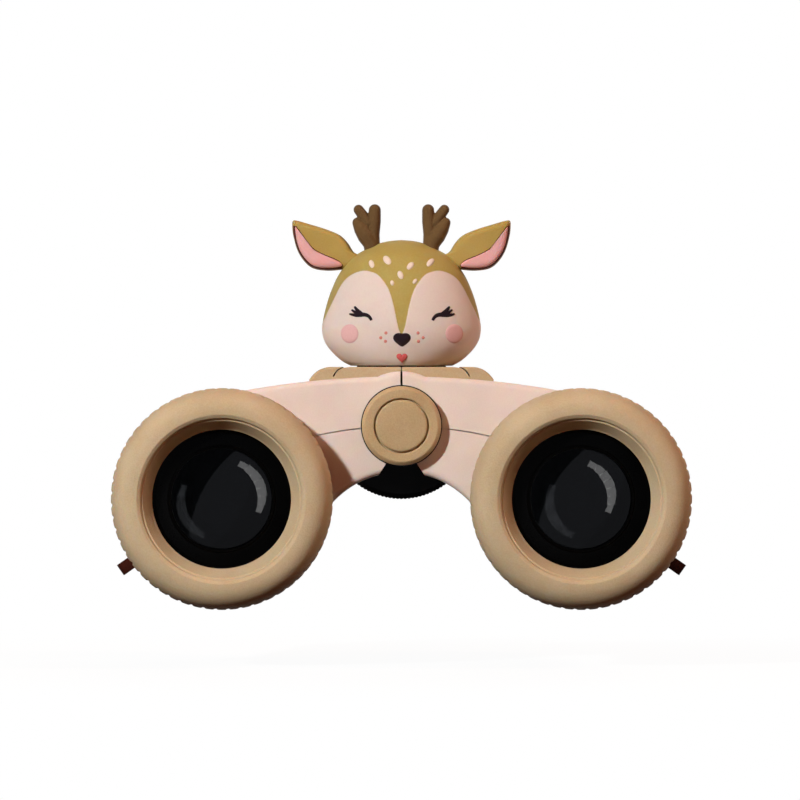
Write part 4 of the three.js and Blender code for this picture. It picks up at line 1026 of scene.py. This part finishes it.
def coat_and_face():
    """Brown coat above and behind, cream face in front, with a soft painted border."""
    material, tree, surface, place = blank_material("fawn coat and face")
    depth = Wire.node(tree, "ShaderNodeAttribute", {"attribute_name": "face_depth"}, output="Fac")
    grain = noise(tree, place, 0.4)
    cloud = noise(tree, place, 8.0, 3.0)
    tone = cloud.between(*MOTTLE) * 0.6 + grain.between(*MOTTLE) * 0.4
    coat = tone.blend(colour(164, 142, 75), colour(174, 154, 91))
    face = tone.blend(colour(210, 193, 183), colour(216, 200, 191))
    edge = (depth + (grain - 0.5) * 0.1).between(-0.1, 0.1)
    feed(tree, surface, Base_Color=edge.blend(coat, face), Roughness=0.5 + (grain - 0.5) * 0.2)
    feed(tree, surface, Normal=relief(tree, grain, 0.008), Specular_IOR_Level=0.3)
    soak(tree, surface, 0.35)
    return material


COAT = coat_and_face()
for name, node in (("face_shell", "head_front_shell"), ("back_of_head", "head_rear_shell")):
    mesh = head_mesh(front=name == "face_shell")
    shell = add_piece(name, mesh, COAT, "spine", [node], 60)
    wall = shell.modifiers.new("wall", "SOLIDIFY")
    wall.thickness, wall.offset = HEAD_WALL * MM, -1.0
    print(shell.name, len(shell.data.polygons), "faces")

# %% [markdown]
# Nose, mouth, cheeks, freckles and brow spots are small raised shapes; the closed eyes are thin ridges.
# Each one is laid over the curved head: its outline is drawn flat, filled with shrinking copies of itself,
# and every point is then lifted along the head's own normal, so no shape floats or sinks.

# %% shapes laid on the head
SINK = 0.03
RIDGE = [(-1, -SINK), (-0.85, 0.1), (-0.4, 0.16), (0.4, 0.16), (0.85, 0.1), (1, -SINK)]


def on_head(x, z, lift):
    """World millimetres of points lifted off the head's front surface."""
    step = 0.02
    base = head_front(x, z)
    slope_x = (head_front(x + step, z) - head_front(x - step, z)) / (2 * step)
    slope_z = (head_front(x, z + step) - head_front(x, z - step)) / (2 * step)
    length = np.sqrt(1 + slope_x ** 2 + slope_z ** 2)
    points = [x + lift * slope_x / length, base - HEAD_GAP - lift / length, z + lift * slope_z / length]
    return np.stack(points, axis=-1) + np.array(HEAD)


def raised(name, outline, centre, height, finish, flat=4.0, ground=FACE_LIFT):
    """An outline about a centre in the picture, raised off the head; flat says how level its top is."""
    middle_x, middle_z = on_photo(*centre)
    rows = []
    for t in np.concatenate([np.linspace(0.02, 0.8, 8), np.linspace(0.85, 1.0, 7)]):
        x = middle_x + outline[:, 0] * t * PIXEL
        z = middle_z + outline[:, 1] * t * PIXEL
        rows.append(on_head(x, z, np.full(len(x), ground + height * (1 - t ** flat) - SINK)))
    return add_piece(name, filled(grid_mesh(name, rows)), finish, "spine", (), 60)


def ridge(name, path, widths, finish):
    """A thin tapering ridge along a path in the picture, laid on the head."""
    line = np.array([on_photo(*p) for p in curve(path, 10)])
    wide = np.interp(np.linspace(0, 1, len(line)), np.linspace(0, 1, len(widths)), widths) * PIXEL / 2
    ahead = np.gradient(line, axis=0)
    ahead = ahead / np.linalg.norm(ahead, axis=1)[:, None]
    across = np.stack([-ahead[:, 1], ahead[:, 0]], axis=1)
    rows = []
    for share, lift in RIDGE:
        spot = line + across * (wide * share)[:, None]
        rows.append(on_head(spot[:, 0], spot[:, 1], np.full(len(line), FACE_LIFT + lift)))
    mesh = grid_mesh(name, np.transpose(rows, (1, 0, 2)))
    return add_piece(name, filled(mesh), finish, "spine", (), 60)


TURN = np.linspace(0, 2 * math.pi, 72, endpoint=False)


def oval(half_wide, half_tall, tilt=0.0):
    """An ellipse in picture units, leaning by tilt degrees."""
    lean = math.radians(tilt)
    x, z = half_wide * np.cos(TURN), half_tall * np.sin(TURN)
    across = x * math.cos(lean) - z * math.sin(lean)
    return np.stack([across, x * math.sin(lean) + z * math.cos(lean)], axis=1)


def heart(wide, tall, round_share):
    """A heart in picture units, rounded off towards an oval by a share."""
    x = 16 * np.sin(TURN) ** 3
    z = 13 * np.cos(TURN) - 5 * np.cos(2 * TURN) - 2 * np.cos(3 * TURN) - np.cos(4 * TURN)
    z = z - (z.max() + z.min()) / 2
    plump = np.stack([x / 32 * wide, z / (z.max() - z.min()) * tall], axis=1)
    even = np.stack([np.sin(TURN) * wide / 2, np.cos(TURN) * tall / 2], axis=1)
    return plump * (1 - round_share) + even * round_share


print("outlines on the head have", len(TURN), "points each")

# %% [markdown]
# Where each feature stands is read off the picture once, for the left side and the middle of the face.
# The right side mirrors the left, as on the toy. Brow spots are scattered by hand, so they are listed
# one by one, each with its place, its half width, its half height and its lean.

# %% face features
FACE_MIDDLE = 402.0
NOSE_AT, MOUTH_AT, CHEEK_AT = (FACE_MIDDLE, 339.2), (FACE_MIDDLE, 358.0), (350.1, 333.5)
FRECKLES = [(386.1, 333), (381, 337.7), (385.6, 341.2)]
FRECKLE_RADIUS = 1.7
SPOTS = [(371.5, 263.7, 2.7, 4.2, 18), (387.1, 259.9, 3.4, 5.2, 38), (400.5, 274.9, 2.9, 4.4, 22)]
SPOTS += [(410.4, 265.7, 2.9, 4.6, -42), (430.5, 262.2, 2.9, 5.0, -40), (392.2, 282.9, 2.0, 2.7, 10)]
SPOTS += [(415, 281.3, 2.0, 3.0, -38)]
LID = [(371.6, 320.6), (370.3, 318.0), (368.0, 315.8), (364.5, 314.8), (361.0, 314.8), (356.0, 315.3)]
LID += [(350.0, 314.1)]
LASHES = [
    (LID, (2.6, 3.3, 3.7, 4.2, 5.0, 3.8, 1.8)),
    ([(363.0, 314.4), (360.0, 312.8), (357.2, 309.8), (355.0, 306.8)], (3.2, 4.8, 3.4, 2.0)),
    ([(360.0, 314.2), (357.6, 313.4), (355.0, 312.0), (352.2, 310.0)], (5.0, 4.6, 3.0, 1.8)),
]


def facing(side, place):
    """A place on the left of the face, mirrored over its middle for the right."""
    return place if side == "left" else (2 * FACE_MIDDLE - place[0], place[1])


raised("nose", heart(17.8, 14.6, 0.55), NOSE_AT, 0.6, INK, flat=3.0)
raised("mouth", heart(11.0, 9.6, 0.1), MOUTH_AT, 0.3, MOUTH)
for side in SIDES:
    raised(f"{side}_cheek", oval(8.9, 9.5), facing(side, CHEEK_AT), 0.2, CHEEK, flat=8.0)
    dot = oval(FRECKLE_RADIUS, FRECKLE_RADIUS)
    for number, place in enumerate(FRECKLES, 1):
        raised(f"{side}_freckle_{number}", dot, facing(side, place), 0.2, FRECKLE, flat=2.0)
    for number, (path, widths) in enumerate(LASHES, 1):
        ridge(f"{side}_eyelash_{number}", [facing(side, place) for place in path], widths, INK)
for number, (x, y, wide, tall, tilt) in enumerate(SPOTS, 1):
    raised(f"brow_spot_{number}", oval(wide, tall, tilt), (x, y), 0.3, CREAM, ground=0.0)
print("face features on the head: nose, mouth, cheeks, freckles, lashes and", len(SPOTS), "brow spots")

# %% [markdown]
# An ear is a soft leaf shape with a pale lining in its hollow. It is cut from a flat outline and pillowed:
# copies of the outline shrink towards the middle while the two faces bulge apart.
# The lining is a second leaf that stands a little proud of the ear, and a dark leaf between the two,
# grown by a hair, is painted shadow: it shows as the thin shaded line of the gap round the lining.

# %% ears
EAR = [(8.0, 22.2), (9.7, 23.2), (10.9, 25.0), (12.5, 26.6), (15.2, 27.8), (18.4, 28.8), (21.4, 29.65)]
EAR += [(22.2, 29.5), (22.3, 28.4), (22.1, 26.6), (21.3, 23.7), (20.0, 21.5), (18.1, 19.9), (15.2, 19.4)]
EAR += [(12.2, 19.6), (8.0, 20.2)]
LINING = [(21.85, 28.6), (21.0, 26.9), (19.6, 25.1), (17.6, 23.5), (15.2, 22.3), (13.0, 21.4), (11.9, 20.6)]
LINING += [(12.3, 20.0), (15.2, 19.75), (17.9, 20.2), (19.75, 21.75), (21.0, 23.8), (21.75, 26.5)]
EAR_BULGE = 9.0
LINING_INSET, LINING_ROOT, LINING_BULGE = 0.3, 2.4, 6.0
# The dark leaf round the lining is painted shadow, standing for the shade in the gap between lining and ear.
LINING_SHADOW_PROUD, LINING_SHADOW_MARGIN, LINING_SHADOW_BULGE = 0.12, 0.22, 14.0


def leaf(name, outline, front, back, bulge, grow=0.0):
    """A pillowed leaf between two depths, its outline in head x and z and grown by a margin."""
    edge = curve(outline, 8, True)
    ahead = np.roll(edge, -1, axis=0) - np.roll(edge, 1, axis=0)
    out = np.stack([ahead[:, 1], -ahead[:, 0]], axis=1) / np.linalg.norm(ahead, axis=1)[:, None]
    edge = edge + out * grow
    heart_of = edge.mean(axis=0)
    thick, centre = (back - front) / 2, (back + front) / 2
    rows = []
    for facing_y, shares in ((-1, np.linspace(0.03, 1, 16)), (1, np.linspace(1, 0.03, 16)[1:])):
        for t in shares:
            spot = heart_of + (edge - heart_of) * t
            y = centre + facing_y * thick * (1 - t ** bulge) ** 0.5
            rows.append(np.stack([spot[:, 0], np.full(len(edge), y), spot[:, 1]], axis=1))
    return filled(grid_mesh(name, np.array(rows) + np.array([0.0, 0.0, HEAD.z])))


def add_ear(side):
    """One ear with its lining and the dark leaf of painted shadow round it."""
    front, back = span(f"{side}_ear", 1)
    mesh = sided(leaf("ear", EAR, front, back, EAR_BULGE), side)
    add_piece(f"{side}_leaf_ear", mesh, EAR_BROWN, "spine", [f"{side}_ear"], 60)
    root = front + LINING_ROOT
    lining_front = span(f"{side}_ear_lining", 1)[0] + LINING_INSET
    mesh = sided(leaf("lining", LINING, lining_front, root, LINING_BULGE), side)
    add_piece(f"{side}_lining_leaf", mesh, ROSE, "spine", [f"{side}_ear_lining"], 60)
    # This dark leaf is painted shadow along the gap round the lining.
    shadow_front = front - LINING_SHADOW_PROUD
    mesh = leaf("seam", LINING, shadow_front, root, LINING_SHADOW_BULGE, LINING_SHADOW_MARGIN)
    add_piece(f"{side}_lining_painted_shadow", sided(mesh, side), LINING_SHADE_PAINT, "spine", (), 60)


print("outline of an ear:", len(curve(EAR, 8, True)), "points, of its lining:", len(curve(LINING, 8, True)))

# %% [markdown]
# An antler is a stub that forks twice, soft all over, as if it had been rolled from clay.
# Tubes would show hard creases where they meet, so balls are strung along each branch and melted together
# by a voxel remesh, and a smoothing pass takes out what is left of the steps.

# %% ears and antlers in place
ANTLER_BRANCHES = [
    [(5.45, 31.75, 1.25), (5.55, 29.4, 1.35), (5.75, 26.8, 1.3), (5.75, 23.0, 1.45)],
    [(8.75, 31.85, 1.05), (6.8, 29.2, 1.2)],
    [(8.95, 29.2, 1.1), (8.1, 27.9, 1.6), (7.2, 26.5, 1.8), (6.2, 25.0, 1.65), (5.9, 22.5, 1.5)],
]
BALL_DEEP, VOXEL_MM = 1.4, 0.12


def antler_mesh(front, back):
    """Balls strung along each branch and melted into one soft antler."""
    work = bmesh.new()
    for start, end in (pair for branch in ANTLER_BRANCHES for pair in zip(branch, branch[1:])):
        for t in np.linspace(0, 1, 14):
            x, z, radius = np.array(start) * (1 - t) + np.array(end) * t
            place = Matrix.Translation(Vector((x, (front + back) / 2, z + HEAD.z)) * MM)
            size = Matrix.Diagonal((radius * MM, radius * BALL_DEEP * MM, radius * MM, 1.0))
            bmesh.ops.create_icosphere(work, subdivisions=3, radius=1.0, matrix=place @ size)
    mesh = bpy.data.meshes.new("antler")
    work.to_mesh(mesh)
    work.free()
    balls = linked("balls", mesh)
    melt = balls.modifiers.new("melt", "REMESH")
    melt.mode, melt.voxel_size = "VOXEL", VOXEL_MM * MM
    ease = balls.modifiers.new("ease", "SMOOTH")
    ease.factor, ease.iterations = 0.5, 6
    melted = baked(balls)
    bpy.data.objects.remove(balls)
    return melted


for side in SIDES:
    add_ear(side)
    mesh = sided(antler_mesh(*span(f"{side}_antler", 1)), side)
    antler = add_piece(f"{side}_stub_antler", mesh, ANTLER, "spine", [f"{side}_antler"], 60)
    print(f"{side} ear and", antler.name, "with", len(mesh.polygons), "faces")

# %% [markdown]
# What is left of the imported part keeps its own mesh: lugs, screws, the nut, and all that is inside.
# These pieces only need a finish and slightly softened edges. Their triangles arrive unjoined, so a weld
# comes before the bevel. Every node still shown is visited, so that nothing is left in plain grey.

# %% remaining parts
FINISH = {
    # The strap lugs take the darkened lug colour, which is painted shade.
    "strap_lug": LUG_PAINTED_SHADE, "screw": STEEL, "shaft": STEEL, "nut": STEEL, "spine": GREY,
    "prism_cage": CELL_BLACK, "prism": PRISM, "lens": LENS, "tube": BLACK, "carriage": GREY,
    "lock_ring": CELL_BLACK,
}
LUG_EDGE, PART_EDGE, PART_ANGLE = 0.2, 0.08, 40.0
dressed = 0
for name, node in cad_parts.items():
    if node.hide_render:
        continue
    finish = next(value for key, value in FINISH.items() if key in name)
    node.data.materials.clear()
    node.data.materials.append(finish)
    node.data.shade_smooth()
    weld = node.modifiers.new("join corners", "WELD")
    weld.merge_threshold = 0.001 * MM
    soften(node, LUG_EDGE if "lug" in name else PART_EDGE, PART_ANGLE)
    dressed += 1
print("nodes dressed with their own mesh:", dressed)

# %% [markdown]
# The object is shown before plain white, with only a faint shadow below it. When the halves fold, their
# barrels swing down, so the floor lies just under the lowest place that a folded ring reaches.
# It is white to the camera but dark and warm to other rays, so it throws little light back at the object.

# %% floor
FOLD, FLOOR_GAP = math.radians(20.0), 0.2
FLOOR_CORNERS = [(-4, -3, 0), (4, -3, 0), (4, 6, 0), (-4, 6, 0)]
WHITE, FLOOR_BOUNCE = (1.0, 1.0, 1.0, 1.0), (0.05, 0.028, 0.016, 1.0)
SHADOW_NEAR, SHADOW_FAR, SHADOW_SHARE = 0.06, 0.22, 0.05


def pale_floor():
    """A white floor that stays white to the camera, takes a faint shadow and throws little light back."""
    material, tree, surface, place = blank_material("pale floor")
    seen = Wire.node(tree, "ShaderNodeLightPath", {}, {}, "Is Camera Ray")
    mottle = noise(tree, place, 30.0)
    white = mottle.blend(colour(246, 246, 246), colour(252, 252, 252))
    feed(tree, surface, Base_Color=seen.blend(FLOOR_BOUNCE, white), Roughness=0.9)
    feed(tree, surface, Specular_IOR_Level=0.0)
    glow = Wire.node(tree, "ShaderNodeEmission", {}, {"Color": WHITE, "Strength": 1.0})
    away = Wire.node(tree, "ShaderNodeVectorMath", {"operation": "LENGTH"}, {0: place}, "Value")
    share = (1.0 - SHADOW_SHARE) + away.between(SHADOW_NEAR, SHADOW_FAR) * SHADOW_SHARE
    lit = Wire(tree, surface.outputs[0])
    mixed = Wire.node(tree, "ShaderNodeMixShader", {}, {0: seen * share, 1: lit, 2: glow})
    tree.links.new(mixed.socket, tree.nodes["Material Output"].inputs["Surface"])
    return material


floor_mesh = bpy.data.meshes.new("floor")
floor_mesh.from_pydata(FLOOR_CORNERS, [], [(0, 1, 2, 3)])
floor_mesh.materials.append(pale_floor())
floor = linked("floor", floor_mesh)
folded = HINGE_Z - BARREL_X * math.sin(FOLD) - (HINGE_Z - BARREL_Z) * math.cos(FOLD)
floor.location.z = (folded - BARREL_Z - FLOOR_GAP) * MM
floor.visible_glossy = floor.visible_transmission = False
print("floor at z =", round(floor.location.z, 5))

# %% [markdown]
# The photograph is lit from the left and a little above. A small, strong panel does that work and draws
# the crisp shadow of each ring on the body. A weaker warm panel fills the right, and one behind lifts the
# rear edges. These three stay out of mirrors and glass. The lenses get lamps of their own instead: a short
# arc of strips, which the glass turns into one curved glint, and a large dim card for the soft sheen.

# %% lamps
AIM = (0.0, -0.03, 0.04)
PANELS = {
    "main panel": ((-0.58, -0.92, 0.5), 0.08, 14.6, (0.95, 1.0, 1.0)),
    "right side panel": ((0.8, -0.22, 0.8), 0.3, 5.4, (1.0, 0.72, 0.55)),
    "back panel": ((0.3, 1.3, 0.5), 0.6, 15.0, (1.0, 1.0, 1.0)),
}
STRIP_AWAY, STRIP_TURN, STRIPS = 6.0, 12.6, 7
STRIP_FIRST, STRIP_LAST, STRIP_TALL, STRIP_WATTS = 62.0, -20.0, 0.33, 6.0
STRIP_NARROW, STRIP_SWELL = 0.14, 0.24
CARD_PLACE, CARD_SIZE, CARD_WATTS, CARD_TINT = (1.1, -2.06, -0.63), 4.2, 6.4, (0.92, 0.97, 1.08)


def panel(name, place, wide, tall, watts, tint=(1.0, 1.0, 1.0)):
    """A soft rectangular light at a place, turned to the object."""
    data = bpy.data.lights.new(name, "AREA")
    data.shape, data.size, data.size_y = "RECTANGLE", wide, tall
    data.energy, data.color = watts, tint
    made = linked(name, data)
    made.location = place
    made.rotation_euler = (Vector(AIM) - Vector(place)).to_track_quat("-Z", "Y").to_euler()
    return made


for name, (place, size, watts, tint) in PANELS.items():
    lamp = panel(name, place, size, size, watts, tint)
    lamp.visible_glossy = lamp.visible_transmission = False
for number, lean in enumerate(np.linspace(STRIP_FIRST, STRIP_LAST, STRIPS), 1):
    turn = math.radians(lean)
    across, up = (math.tan(math.radians(STRIP_TURN * part)) for part in (math.cos(turn), math.sin(turn)))
    place = (STRIP_AWAY * across, -STRIP_AWAY, AIM[2] + STRIP_AWAY * up)
    wide = STRIP_NARROW + STRIP_SWELL * math.sin(math.pi * number / (STRIPS + 1))
    strip = panel(f"lens strip {number}", place, wide, STRIP_TALL, STRIP_WATTS * wide * STRIP_TALL)
    strip.rotation_euler.rotate_axis("Z", turn)
    strip.visible_camera = False
card = panel("dim card", CARD_PLACE, CARD_SIZE, CARD_SIZE, CARD_WATTS, CARD_TINT)
card.data.shape = "ELLIPSE"
card.visible_camera = card.visible_diffuse = False
print("lamps:", len(bpy.data.lights))

# %% [markdown]
# The world is the room around the object. To the camera it is plain white, at a strength of one.
# To other rays it is a dim, warm room in front and a paler one behind, so that the white behind the object
# does not wash out the warm shaded side, while polished parts turned to the back still mirror a bright room.

# %% room
FRONT_ROOM, FRONT_MIRRORED = (0.21, 0.05, 0.017, 1.0), (0.008, 0.008, 0.009, 1.0)
BACK_ROOM, BACK_MIRRORED = (0.12, 0.1, 0.09, 1.0), (0.5, 0.5, 0.5, 1.0)
BACK_FROM, BACK_FULL = 0.35, 0.95
world = bpy.data.worlds.new("studio")
bpy.context.scene.world = world
world.use_nodes = True
air = world.node_tree
seen = Wire.node(air, "ShaderNodeLightPath", {}, {}, "Is Camera Ray")
glossy = Wire.node(air, "ShaderNodeLightPath", {}, {}, "Is Glossy Ray")
through = Wire.node(air, "ShaderNodeLightPath", {}, {}, "Is Transmission Ray")
direction = Wire.node(air, "ShaderNodeTexCoord", {}, {}, "Generated")
depth = Wire.node(air, "ShaderNodeSeparateXYZ", {}, {"Vector": direction}, "Y")
bounced = glossy.maths("MAXIMUM", glossy, through)
front_air = bounced.blend(FRONT_ROOM, FRONT_MIRRORED)
back_air = bounced.blend(BACK_ROOM, BACK_MIRRORED)
round_about = depth.between(BACK_FROM, BACK_FULL).blend(front_air, back_air)
shade = seen.blend(round_about, WHITE)
sky = Wire.node(air, "ShaderNodeBackground", {}, {"Color": shade, "Strength": 1.0})
air.links.new(sky.socket, air.nodes["World Output"].inputs["Surface"])
print("room:", len(air.nodes), "nodes")
